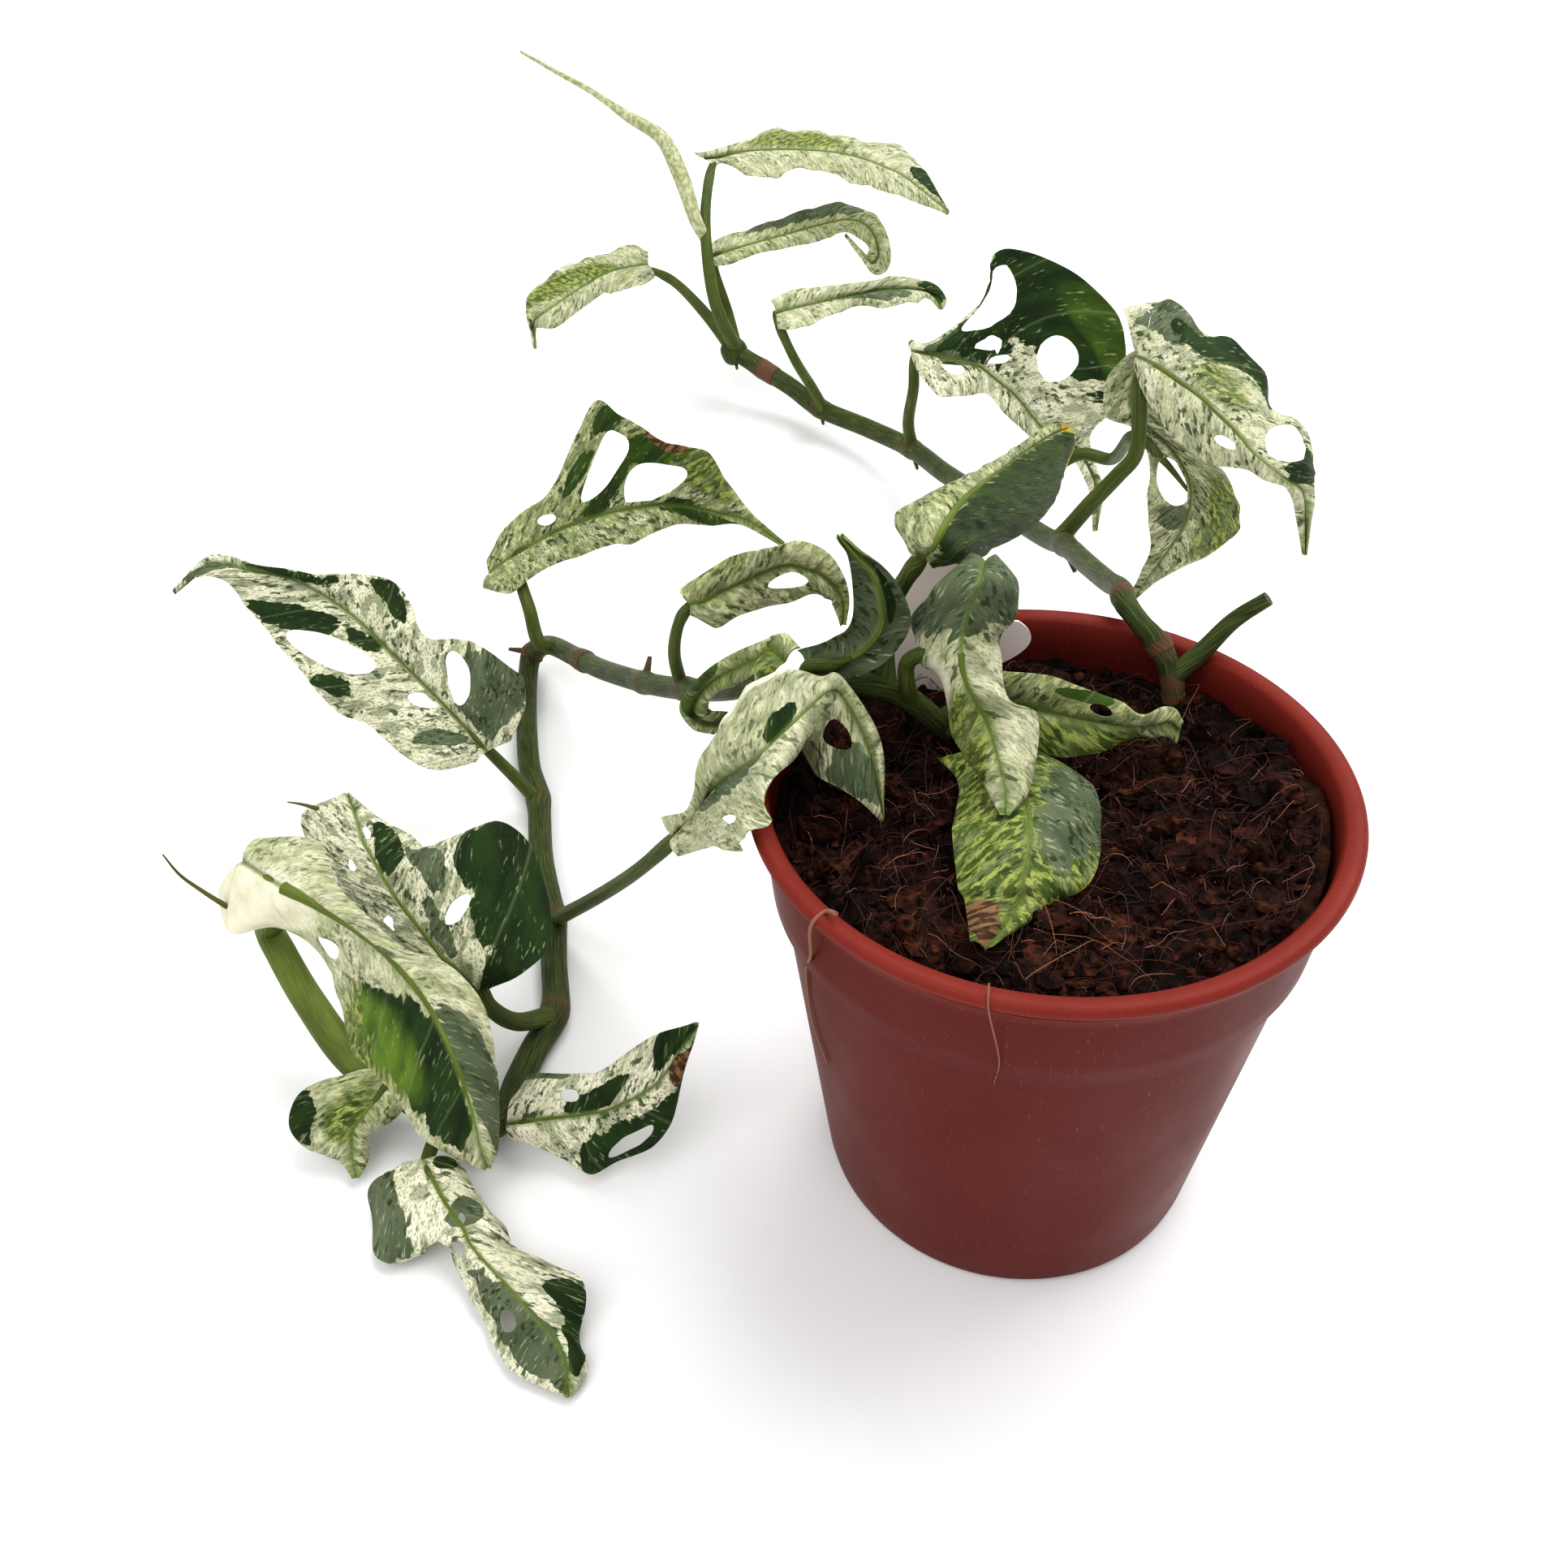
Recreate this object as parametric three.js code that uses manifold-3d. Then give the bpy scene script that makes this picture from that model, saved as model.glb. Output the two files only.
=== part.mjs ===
// A potted frozen freckles monstera: two vines with their leaves, soil, a plant tag and a nursery pot.
// Millimetres, +Z up. The origin is the middle of the pot's base, on the table; the viewer is at -Y.
// Both vines leave the soil, cross the pot's rim and trail away below it.
import * as THREE from 'three';
import { mergeVertices } from 'three/addons/utils/BufferGeometryUtils.js';
import Module from 'manifold-3d';

const wasm = await Module();
wasm.setup();

// Nursery pot.
const RIM_RADIUS = 60;
const POT_HEIGHT = 114;
const BEAD_RADIUS = 1.3;
const COLLAR_TOP_RADIUS = 57.2;
const COLLAR_FOOT_RADIUS = 55.6;
const STEP_HEIGHT = 88.6;
const STEP_RADIUS = 53.7;
const BASE_RADIUS = 44.4;
const BASE_CORNER = 2;
const BEAD_CORNER = 0.6;
const COLLAR_FOOT_RISE = 1;
const RIM_DEPTH = 3;
const WALL = 1.6;
const FLOOR = 2.4;
const POT_SIDES = 36;
const DRAIN_COUNT = 6;
const DRAIN_RADIUS = 4;
const DRAIN_SIDES = 8;
const DRAIN_RING_RADIUS = 28;
const FOOT_NOTCH_COUNT = 4;
const FOOT_NOTCH_SIZE = [20, 8, 1.2];

// Soil.
const SOIL_LEVEL = 103;
const SOIL_RELIEF = 1.2;
const SOIL_RINGS = 6;

// Gap kept between two pieces that touch.
const GAP = 0.3;

// Leaves: blade thickness, the least half width at base and tip, bulge and edge wave of each half.
const BLADE_THICKNESS = 0.9;
const LEAST_HALF_WIDTH = 0.7;
const CROWN = 1.2;
const EDGE_WAVE = 1;
const WAVES_PER_EDGE = 3;
const ROWS_PER_BLADE = 12;
const STRIPS_PER_HALF = 2;
const HOLE_CORNERS = 7;
const HOLE_DEPTH = 4;
const HOLE_STRETCH = [0.03, 0.97];
const RIB_CLEAR = 0.08;
const EDGE_CLEAR = 0.88;

// The stretch of a blade that is wide enough to give its slope, the step that measures it, and how near
// the rib both halves count.
const WIDE_STRETCH = [0.06, 0.92];
const SLOPE_STEP = 0.02;
const ON_RIB = 0.1;

// Stalks: the usual place of the joint, how far one runs on under the blade and how deep it sits there.
const STALK_SIDES = 5;
const STALK_STEPS = 6;
const STALK_JOINT = [0.02, 0];
const STALK_UNDER_BLADE = 0.2;
const STALK_SUNK = 0.4;
const STALK_FREE_PART = 0.75;
const STALK_END_RADIUS = 0.7;

// Vines: radius at the soil and at the tip; a vine gains most of its girth early.
const VINE_SIDES = 8;
const NODE_SWELL = 0.7;
const NODE_LENGTH = 4;
const ROOT_STUB_RADII = [1.6, 0.6];
const ROOT_STUB_SIDES = 5;
const BACK_VINE = {
  radius: [2.2, 4.2],
  steps: 38,
  tip: 6.5,
  path: [[31, 30, 90], [34, 33, 104], [33, 36, 112], [30, 40, 117], [27, 42, 120], [25, 49, 121],
    [26, 58, 119], [28, 75, 110], [31, 107, 95], [33, 142, 80], [32, 168, 68], [25, 240, 42],
    [17, 286, 28], [8, 323, 20], [-8, 356, 14], [-28, 382, 12], [-41, 400, 15], [-54, 410, 20],
    [-67, 418, 26]],
  nodes: [[34, 36, 109], [31, 39, 116], [26, 52, 120], [33, 142, 80], [25, 240, 42], [8, 323, 20],
    [-28, 382, 12], [-54, 410, 20]],
  roots: [[33, 142, 80, 3, -4, -7], [8, 323, 20, 2, -5, -7], [-28, 382, 12, 1, -4, -6],
    [-67, 418, 26, 1, -5, -7]],
};
const FRONT_VINE = {
  radius: [2.4, 3.7],
  steps: 50,
  tip: 3.8,
  path: [[-14, 35, 90], [-16, 29, 102], [-20, 25, 110], [-26, 25, 116], [-32, 25, 119], [-39, 24, 121],
    [-46, 24, 121], [-53, 28, 118], [-58, 43, 109], [-64, 56, 97], [-76, 82, 78], [-90, 110, 60],
    [-107, 145, 40], [-118, 166, 30], [-132, 192, 18], [-140, 200, 10], [-142, 195, 6], [-140, 170, 5],
    [-136, 143, 5], [-131, 125, 5], [-127, 97, 5], [-121, 72, 5], [-119, 55, 5], [-117, 37, 5],
    [-121, 25, 5], [-124, 13, 6], [-126, 2, 7], [-133, -1, 7], [-141, 2, 8], [-148, 6, 9],
    [-154, 9, 12]],
  nodes: [[-77, 84, 77], [-91, 112, 59], [-117, 164, 31], [-140, 200, 10], [-131, 125, 5],
    [-121, 72, 5], [-117, 37, 5]],
  roots: [[-91, 112, 59, 2, 4, 6], [-140, 200, 10, -9, 1, 1], [-117, 37, 5, -3, -8, -2]],
};

// The cut stub of an old shoot beside the back vine.
const STUB = {
  path: [[34, 35, 111], [40, 37, 116], [46, 39, 122], [52, 38, 128]],
  radius: [2.3, 1.6],
  steps: 5,
};

// Plain plant tag, pushed into the soil at the back.
const TAG_THICKNESS = 0.8;
const TAG_HEIGHT = 41;
const TAG_WIDTH = 30;
const TAG_PLACE = [-14, 42, 96];
const TAG_LEAN = 0.12;
const TAG_CURVE_STEPS = 4;

// The tag's outline, as parts of half its width and of its height.
const TAG_OUTLINE = {
  foot: [[-0.7, 0], [0.4, 0]],
  shoulder: [-1, 0.35],
  headCorner: [-1, 1],
  headTop: [-0.2, 1],
  headRight: [0.5, 0.95],
  neck: [0.6, 0.62],
  earTop: [0.9, 0.62],
  earEnd: [1.45, 0.5],
  earFoot: [0.9, 0.38],
  waist: [0.5, 0.3],
};

// The rolled new leaf at the end of the back vine.
const SPEAR = {
  path: [[-77, 429, 74], [-81, 431, 82], [-84, 438, 90], [-88, 450, 98], [-96, 468, 108], [-112, 483, 114],
    [-130, 502, 121], [-147, 515, 127], [-165, 534, 132]],
  grownFrom: 'leaf_back_top',
  steps: 18,
  radius: 2.2,
  swell: 2.4,
  tipRadius: 0.7,
};

// Leaves. Each blade runs along its rib, with the two edges beside it; a stalk carries it from its vine.
// joint is where the stalk meets the blade: along the rib from 0 to 1, and across from -1 to 1.
// A hole has its place, then its long and its short half axis, all as along and across.
const LEAVES = [
  // Big leaf at the front left: pale domed base, tip hanging towards the viewer.
  {
    name: 'leaf_front_dome',
    stalk: [[-154, 9, 12], [-166, 17, 15], [-177, 29, 23], [-184, 38, 32], [-187, 43, 37],
      [-183, 41, 49]],
    left: [[-182, 44, 66], [-166, 40, 68], [-159, 27, 66], [-151, 20, 62], [-142, 14, 56],
      [-134, 15, 50], [-127, 9, 42], [-124, -1, 32], [-123, -9, 25], [-124, -15, 18], [-126, -17, 14]],
    rib: [[-185, 39, 64], [-171, 26, 67], [-164, 23, 64], [-156, 19, 61], [-148, 14, 57],
      [-141, 8, 52], [-136, 3, 46], [-131, -5, 37], [-128, -12, 28], [-127, -16, 20], [-126, -17, 14]],
    right: [[-192, 37, 56], [-189, 30, 50], [-179, 32, 48], [-166, 23, 45], [-162, 18, 38],
      [-161, 12, 30], [-158, 6, 27], [-146, -4, 24], [-141, -11, 19], [-133, -14, 14], [-126, -17, 14]],
    joint: [0.05, 0.08],
    holes: [
      [0.3, 0.57, 0.03, 0.08, -0.01, 0.14],
    ],
    thick: [4.4, 3.4],
  },
  // Behind it: a speckled blade with one large dark lobe standing up at its base.
  {
    name: 'leaf_front_round',
    stalk: [[-117, 36, 5], [-124, 25, 16], [-129, 22, 26], [-131, 22, 32]],
    left: [[-137, 24, 30], [-146, 29, 32], [-154, 37, 32], [-165, 48, 30], [-171, 55, 30],
      [-175, 62, 30], [-178, 69, 32], [-186, 78, 34], [-188, 88, 36], [-175, 88, 42]],
    rib: [[-132, 23, 33], [-136, 26, 36], [-140, 29, 38], [-149, 40, 41], [-153, 45, 42],
      [-158, 53, 42], [-162, 60, 42], [-167, 69, 42], [-171, 79, 42], [-175, 88, 42]],
    right: [[-128, 22, 33], [-118, 21, 40], [-112, 27, 46], [-116, 47, 54], [-127, 58, 56],
      [-140, 60, 50], [-147, 60, 44], [-155, 70, 42], [-165, 78, 42], [-175, 88, 42]],
    holes: [
      [0.3, 0.33, 0.02, 0.12, -0.01, 0.06],
      [0.8, 0.14, -0.03, 0.02, -0.01, -0.1],
      [0.66, -0.41, -0.03, 0, -0.01, -0.1],
      [0.33, -0.37, -0.03, -0.04, -0.01, -0.1],
    ],
    thick: [2.8, 2],
  },
  // Long leaf to the far left, brown at its tip.
  {
    name: 'leaf_far_left',
    stalk: [[-131, 124, 5], [-137, 124, 16], [-143, 124, 26]],
    left: [[-146, 120, 26], [-158, 117, 26], [-168, 122, 28], [-180, 133, 32], [-190, 136, 36],
      [-205, 151, 46], [-219, 165, 55], [-228, 173, 62], [-238, 175, 62], [-246, 175, 57]],
    rib: [[-143, 122, 28], [-149, 128, 32], [-156, 134, 37], [-164, 141, 42], [-172, 148, 47],
      [-187, 160, 56], [-204, 169, 63], [-218, 172, 65], [-233, 179, 64], [-246, 175, 57]],
    right: [[-136, 122, 31], [-130, 126, 42], [-132, 129, 52], [-148, 146, 52], [-162, 147, 54],
      [-173, 165, 63], [-199, 168, 66], [-217, 174, 66], [-234, 184, 64], [-246, 175, 57]],
    holes: [
      [0.52, -0.54, -0.07, 0.26, -0.01, -0.18],
      [0.28, -0.17, -0.04, 0.12, -0.01, -0.1],
      [0.27, 0.44, -0.07, -0.26, 0.01, -0.14],
    ],
    thick: [2.2, 1.6],
  },
  // Leaf over the bend of the front vine, its upper half stood up and torn by holes.
  {
    name: 'leaf_arched',
    stalk: [[-129, 187, 21], [-134, 183, 26], [-136, 187, 36], [-139, 189, 46]],
    left: [[-150, 201, 48], [-145, 207, 54], [-136, 212, 60], [-126, 213, 68], [-111, 227, 90],
      [-100, 221, 88], [-88, 217, 80], [-74, 221, 74], [-68, 222, 62], [-60, 224, 48], [-49, 220, 38]],
    rib: [[-149, 194, 47], [-141, 200, 50], [-133, 203, 53], [-124, 206, 56], [-108, 208, 60],
      [-100, 210, 60], [-92, 214, 59], [-82, 218, 56], [-71, 219, 52], [-61, 222, 47], [-49, 220, 38]],
    right: [[-151, 191, 44], [-142, 187, 44], [-136, 191, 46], [-127, 197, 48], [-108, 199, 54],
      [-100, 201, 53], [-93, 207, 53], [-84, 214, 52], [-73, 217, 49], [-63, 223, 46], [-49, 220, 38]],
    joint: [0.11, 0.08],
    holes: [
      [0.43, -0.5, 0.07, -0.3, 0.04, 0.06],
      [0.57, -0.34, 0.09, -0.3, 0.04, 0.18],
      [0.26, -0.39, 0.03, 0.02, 0.01, 0.16],
    ],
    thick: [2.6, 1.8],
  },
  // Small leaf on a bowed stalk, halfway along.
  {
    name: 'leaf_small_curved',
    stalk: [[-78, 86, 75], [-79, 84, 88], [-77, 85, 97], [-73, 85, 102]],
    left: [[-76, 88, 104], [-72, 88, 107], [-63, 89, 112], [-53, 92, 113], [-45, 97, 111],
      [-38, 98, 106], [-34, 96, 97], [-35, 94, 88]],
    rib: [[-74, 85, 102], [-70, 85, 103], [-64, 87, 105], [-51, 93, 107], [-45, 95, 105],
      [-39, 96, 101], [-35, 95, 95], [-35, 94, 88]],
    right: [[-73, 87, 98], [-68, 83, 97], [-62, 85, 99], [-50, 91, 98], [-44, 94, 99], [-39, 94, 97],
      [-37, 96, 94], [-35, 94, 88]],
    holes: [
      [0.48, 0.39, 0.1, 0.04, 0, 0.22],
    ],
    thick: [1.9, 1.4],
  },
  // Small dark leaf that curls up in an S at the pot rim.
  {
    name: 'leaf_s_curl',
    stalk: [[-46, 24, 121], [-47, 23, 123], [-46, 23, 126]],
    left: [[-46, 20, 126], [-36, 18, 128], [-27, 20, 135], [-29, 19, 147], [-36, 17, 156],
      [-40, 17, 160]],
    rib: [[-47, 23, 127], [-38, 20, 130], [-32, 19, 138], [-33, 18, 149], [-37, 17, 156],
      [-40, 17, 160]],
    right: [[-48, 27, 127], [-41, 22, 133], [-37, 19, 140], [-37, 18, 149], [-38, 17, 156],
      [-40, 17, 160]],
    joint: [0.02, -0.24],
    thick: [1.8, 1.4],
  },
  // Leaf with a rolled dark lobe above and a pale crumpled blade hanging below.
  {
    name: 'leaf_rolled_lobe',
    stalk: [[-24, 25, 114], [-26, 22, 121], [-26, 21, 128], [-22, 21, 131]],
    left: [[-9, 27, 147], [-6, 21, 146], [-6, 20, 140], [-9, 18, 136], [-9, 13, 133], [-9, 8, 128],
      [-2, 8, 122], [-5, -4, 115], [-10, -10, 113]],
    rib: [[-11, 26, 148], [-14, 14, 151], [-16, 13, 145], [-17, 12, 139], [-17, 9, 134], [-15, 7, 129],
      [-12, 4, 124], [-10, -5, 117], [-10, -10, 113]],
    right: [[-14, 28, 147], [-21, 19, 146], [-25, 26, 134], [-23, 20, 130], [-20, 16, 129],
      [-19, 11, 124], [-17, 8, 119], [-13, 0, 114], [-10, -10, 113]],
    joint: [0.38, 0.72],
    thick: [1.9, 1.5],
  },
  // Old leaf bowed over the soil, its end dried brown.
  {
    name: 'leaf_on_soil',
    stalk: [[-18, 27, 106], [-12, 22, 107], [-7, 16, 107]],
    left: [[1, 17, 106], [8, 9, 106], [10, -6, 105], [4, -21, 105], [-4, -27, 105], [-16, -36, 105]],
    rib: [[-6, 14, 108], [-5, 4, 111], [-6, -14, 113], [-9, -25, 110], [-10, -28, 107],
      [-17, -37, 105]],
    right: [[-19, 16, 106], [-16, 7, 107], [-19, -10, 108], [-20, -23, 108], [-19, -27, 107],
      [-19, -35, 105]],
    thick: [1.8, 1.4],
  },
  // Narrow crumpled leaf reaching over the soil to the right.
  {
    name: 'leaf_over_soil',
    stalk: [[-19, 26, 108], [-14, 26, 112], [-8, 25, 114]],
    left: [[-6, 26, 120], [5, 23, 120], [16, 17, 118], [22, 14, 117], [28, 15, 117], [30, 14, 114]],
    rib: [[-8, 24, 115], [4, 20, 114], [16, 16, 113], [22, 16, 113], [27, 15, 114], [30, 15, 112]],
    right: [[-6, 22, 110], [5, 15, 107], [19, 17, 108], [24, 18, 109], [28, 16, 110], [30, 15, 109]],
    holes: [
      [0.36, -0.55, 0.04, 0.02, -0.01, 0.2],
    ],
    thick: [1.8, 1.4],
  },
  // Leaf folded like a roof along its rib, dark on the near side.
  {
    name: 'leaf_roof',
    stalk: [[-30, 25, 118], [-30, 30, 127], [-28, 31, 137], [-24, 26, 147]],
    left: [[-26, 26, 152], [-28, 29, 155], [-26, 36, 155], [-18, 43, 153], [0, 70, 147], [14, 93, 141],
      [20, 100, 138]],
    rib: [[-23, 24, 150], [-21, 21, 156], [-18, 26, 158], [-13, 36, 157], [0, 61, 151], [13, 87, 143],
      [20, 100, 138]],
    right: [[-21, 29, 146], [-15, 35, 142], [-8, 47, 137], [0, 58, 133], [14, 82, 130], [21, 98, 133],
      [20, 100, 138]],
    thick: [2.2, 1.7],
  },
  // Long wavy leaf from outside the pot, bent over the rim and down inside it.
  {
    name: 'leaf_over_rim',
    stalk: [[-121, 71, 5], [-104, 55, 30], [-89, 37, 57], [-79, 26, 78]],
    left: [[-80, 25, 84], [-73, 17, 94], [-70, 17, 107], [-65, 18, 115], [-60, 24, 119],
      [-50, 20, 127], [-44, 14, 130], [-40, 12, 130], [-33, 6, 119], [-33, -4, 108]],
    rib: [[-78, 24, 80], [-72, 22, 90], [-66, 16, 102], [-60, 7, 114], [-55, 4, 121], [-47, 8, 127],
      [-43, 9, 130], [-40, 10, 128], [-35, 5, 118], [-33, -4, 108]],
    right: [[-77, 19, 79], [-68, 6, 94], [-62, -15, 112], [-58, -18, 121], [-56, -11, 123],
      [-49, 6, 120], [-48, 9, 116], [-46, 8, 112], [-38, -1, 112], [-33, -4, 108]],
    holes: [
      [0.8, 0.38, 0.04, 0.02, -0.02, 0.18],
      [0.74, 0.88, 0.07, -0.1, -0.01, 0.14],
      [0.25, 0.65, 0.03, 0.1, -0.01, 0.04],
    ],
    thick: [2.2, 1.7],
  },
  // Narrow leaf behind it, bent round in a loop.
  {
    name: 'leaf_looped',
    stalk: [[-57, 41, 110], [-57, 36, 112], [-55, 35, 116]],
    left: [[-54, 32, 117], [-57, 33, 116], [-58, 38, 114], [-65, 46, 105], [-70, 52, 96],
      [-68, 53, 92], [-64, 55, 90]],
    rib: [[-51, 34, 120], [-54, 37, 121], [-57, 38, 118], [-67, 46, 107], [-73, 52, 95], [-71, 53, 90],
      [-66, 54, 88]],
    right: [[-48, 35, 122], [-51, 40, 122], [-56, 40, 121], [-69, 47, 108], [-75, 51, 96],
      [-73, 52, 89], [-68, 52, 87]],
    joint: [0.11, -0.4],
    thick: [1.7, 1.3],
  },
  // Little crumpled leaf under the big front one.
  {
    name: 'leaf_little_front',
    stalk: [[-151, 8, 11], [-152, 8, 14]],
    left: [[-150, 8, 17], [-150, 1, 14], [-155, 0, 10], [-160, -3, 8], [-159, -6, 5], [-161, -11, 3]],
    rib: [[-152, 9, 18], [-157, -1, 17], [-161, -4, 13], [-162, -5, 9], [-162, -8, 6], [-161, -11, 3]],
    right: [[-160, 9, 19], [-174, 4, 18], [-176, -1, 13], [-172, -6, 8], [-166, -5, 5], [-161, -11, 3]],
    joint: [0.06, -0.16],
    thick: [1.8, 1.4],
  },
  // Leaf lying along the table towards the viewer.
  {
    name: 'leaf_on_table',
    stalk: [[-141, 2, 8], [-141, -6, 11], [-142, -13, 13]],
    left: [[-135, -13, 12], [-132, -17, 11], [-129, -22, 10], [-126, -26, 9], [-122, -29, 8],
      [-118, -36, 8], [-103, -44, 8], [-103, -55, 4], [-101, -61, 3], [-104, -67, 2]],
    rib: [[-142, -14, 14], [-139, -19, 13], [-136, -24, 13], [-133, -28, 12], [-130, -32, 12],
      [-127, -37, 12], [-118, -46, 10], [-108, -56, 7], [-105, -61, 5], [-104, -67, 2]],
    right: [[-147, -14, 12], [-154, -17, 9], [-155, -22, 5], [-151, -32, 3], [-142, -32, 4],
      [-137, -32, 8], [-128, -42, 4], [-120, -56, 3], [-115, -62, 3], [-104, -67, 2]],
    holes: [
      [0.73, 0.49, 0.02, 0.02, 0.01, 0.2],
      [0.37, -0.13, 0.04, 0.04, 0.01, 0.1],
      [0.56, 0.36, 0.03, 0.08, 0.01, 0.2],
      [0.64, 0.46, 0.01, 0.06, 0.01, 0.14],
    ],
    thick: [2, 1.5],
  },
  // Leaf held just above the table, to the right of the vine tip.
  {
    name: 'leaf_low_right',
    stalk: [[-125, 8, 6], [-125, 2, 9]],
    left: [[-122, 5, 12], [-118, 7, 16], [-105, 2, 22], [-100, 1, 24], [-87, 6, 30], [-79, 8, 31],
      [-76, 10, 30]],
    rib: [[-124, -3, 11], [-118, -3, 12], [-104, -4, 15], [-97, -4, 17], [-86, -2, 23], [-79, 5, 29],
      [-76, 10, 30]],
    right: [[-123, -6, 10], [-118, -7, 9], [-106, -11, 5], [-101, -13, 5], [-86, -6, 10], [-78, 4, 27],
      [-76, 10, 30]],
    holes: [
      [0.58, 0.7, 0.06, -0.08, 0.01, 0.16],
      [0.3, -0.5, 0.03, -0.06, 0.01, 0.14],
    ],
    thick: [2, 1.5],
  },
  // Narrow boat-shaped leaf near the end of the back vine.
  {
    name: 'leaf_back_small',
    stalk: [[-26, 379, 12], [-32, 374, 26], [-40, 371, 42], [-46, 371, 54]],
    left: [[-49, 383, 62], [-43, 391, 62], [-32, 397, 62], [-6, 401, 62], [7, 406, 62], [24, 407, 58],
      [30, 404, 52], [28, 399, 49]],
    rib: [[-47, 383, 57], [-42, 386, 57], [-32, 391, 57], [-9, 399, 58], [4, 403, 58], [17, 406, 56],
      [25, 406, 53], [28, 399, 49]],
    right: [[-46, 377, 53], [-41, 374, 54], [-30, 379, 54], [-10, 395, 55], [4, 393, 54],
      [17, 398, 54], [23, 405, 52], [28, 399, 49]],
    thick: [2.5, 1.9],
  },
  // Leaf turned to the left at the end of the back vine.
  {
    name: 'leaf_back_left',
    stalk: [[-67, 418, 26], [-80, 430, 40], [-94, 444, 50], [-103, 452, 56]],
    left: [[-103, 442, 54], [-111, 433, 53], [-123, 432, 52], [-130, 430, 50], [-148, 408, 46],
      [-158, 411, 44], [-158, 403, 38]],
    rib: [[-106, 449, 57], [-113, 448, 57], [-123, 443, 57], [-133, 433, 56], [-151, 414, 51],
      [-158, 412, 46], [-158, 403, 38]],
    right: [[-106, 456, 60], [-114, 460, 62], [-126, 454, 61], [-138, 448, 60], [-158, 425, 56],
      [-161, 414, 50], [-158, 403, 38]],
    thick: [3.2, 2],
  },
  // Narrow leaf whose end hooks down and back.
  {
    name: 'leaf_back_hooked',
    stalk: [[-65, 417, 25], [-69, 434, 38], [-73, 440, 57]],
    left: [[-77, 439, 67], [-70, 445, 69], [-57, 457, 69], [-22, 479, 70], [-4, 483, 68], [6, 472, 65],
      [9, 447, 55], [1, 443, 51], [-11, 469, 60]],
    rib: [[-76, 435, 64], [-67, 440, 65], [-55, 446, 66], [-23, 467, 66], [-8, 475, 65], [1, 466, 63],
      [4, 453, 56], [-1, 452, 52], [-11, 469, 60]],
    right: [[-74, 434, 61], [-66, 433, 62], [-53, 442, 63], [-23, 460, 62], [-13, 466, 62],
      [-2, 461, 60], [0, 456, 57], [-2, 458, 54], [-11, 469, 60]],
    thick: [2.6, 1.9],
  },
  // Highest leaf, on the longest stalk.
  {
    name: 'leaf_back_top',
    stalk: [[-65, 417, 25], [-74, 410, 52], [-77, 427, 74], [-76, 448, 88], [-72, 473, 96]],
    left: [[-81, 476, 98], [-72, 476, 99], [-58, 486, 100], [-45, 494, 101], [-29, 494, 101],
      [-16, 489, 101], [-3, 478, 99], [14, 477, 97], [24, 462, 92], [34, 433, 80]],
    rib: [[-77, 475, 96], [-70, 476, 96], [-58, 480, 97], [-45, 478, 98], [-32, 476, 98],
      [-18, 474, 97], [-5, 467, 96], [7, 461, 93], [17, 451, 90], [34, 433, 80]],
    right: [[-74, 470, 94], [-68, 475, 94], [-57, 464, 92], [-45, 462, 91], [-35, 466, 92],
      [-21, 464, 92], [-8, 453, 90], [2, 450, 87], [13, 442, 86], [34, 433, 80]],
    joint: [0.08, 0.24],
    thick: [3.2, 2.1],
  },
  // Broad leaf with its dark half stood up and over, torn by five holes.
  {
    name: 'leaf_back_dark',
    stalk: [[8, 324, 20], [6, 322, 33], [7, 316, 50], [8, 317, 61]],
    left: [[6, 326, 66], [13, 318, 68], [27, 322, 76], [37, 321, 90], [39, 325, 100], [50, 309, 104],
      [63, 289, 102], [75, 270, 94], [76, 261, 84], [72, 256, 68], [66, 259, 54], [71, 251, 38],
      [69, 243, 24]],
    rib: [[6, 321, 64], [14, 316, 64], [23, 310, 64], [31, 303, 64], [37, 294, 62], [43, 287, 59],
      [47, 278, 56], [51, 271, 53], [55, 266, 51], [61, 264, 49], [65, 260, 47], [69, 250, 38],
      [69, 243, 24]],
    right: [[7, 317, 61], [9, 306, 60], [15, 294, 58], [25, 293, 58], [33, 293, 58], [39, 283, 54],
      [44, 275, 52], [48, 269, 50], [51, 264, 49], [56, 262, 48], [62, 259, 46], [67, 249, 38],
      [69, 243, 24]],
    holes: [
      [0.52, -0.45, 0.04, 0.06, -0.03, 0.16],
      [0.28, -0.7, 0.09, -0.16, 0.07, 0.24],
      [0.29, -0.27, 0.07, -0.04, 0.01, 0.06],
      [0.34, -0.17, 0.06, -0.08, 0.01, 0.02],
      [0.17, 0.26, 0.04, 0.02, 0, 0.18],
    ],
    thick: [2.6, 2],
  },
  // Broad spread leaf with a long drip tip.
  {
    name: 'leaf_back_fan',
    stalk: [[33, 151, 76], [40, 147, 90], [47, 147, 99], [51, 146, 106], [52, 150, 114],
      [52, 159, 122]],
    left: [[50, 175, 136], [59, 175, 138], [64, 171, 138], [69, 163, 134], [79, 164, 130],
      [88, 159, 122], [91, 152, 114], [98, 151, 109], [102, 142, 102], [101, 140, 98], [100, 134, 90],
      [100, 131, 80]],
    rib: [[52, 162, 128], [56, 155, 128], [60, 148, 127], [65, 142, 125], [69, 138, 122],
      [74, 134, 118], [78, 130, 114], [84, 129, 109], [90, 131, 104], [96, 134, 99], [99, 134, 90],
      [100, 131, 80]],
    right: [[51, 158, 126], [52, 151, 123], [55, 145, 119], [58, 139, 116], [64, 135, 112],
      [70, 131, 110], [78, 131, 108], [83, 130, 106], [89, 131, 103], [94, 133, 97], [97, 134, 90],
      [100, 131, 80]],
    joint: [0.03, 0.72],
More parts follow.
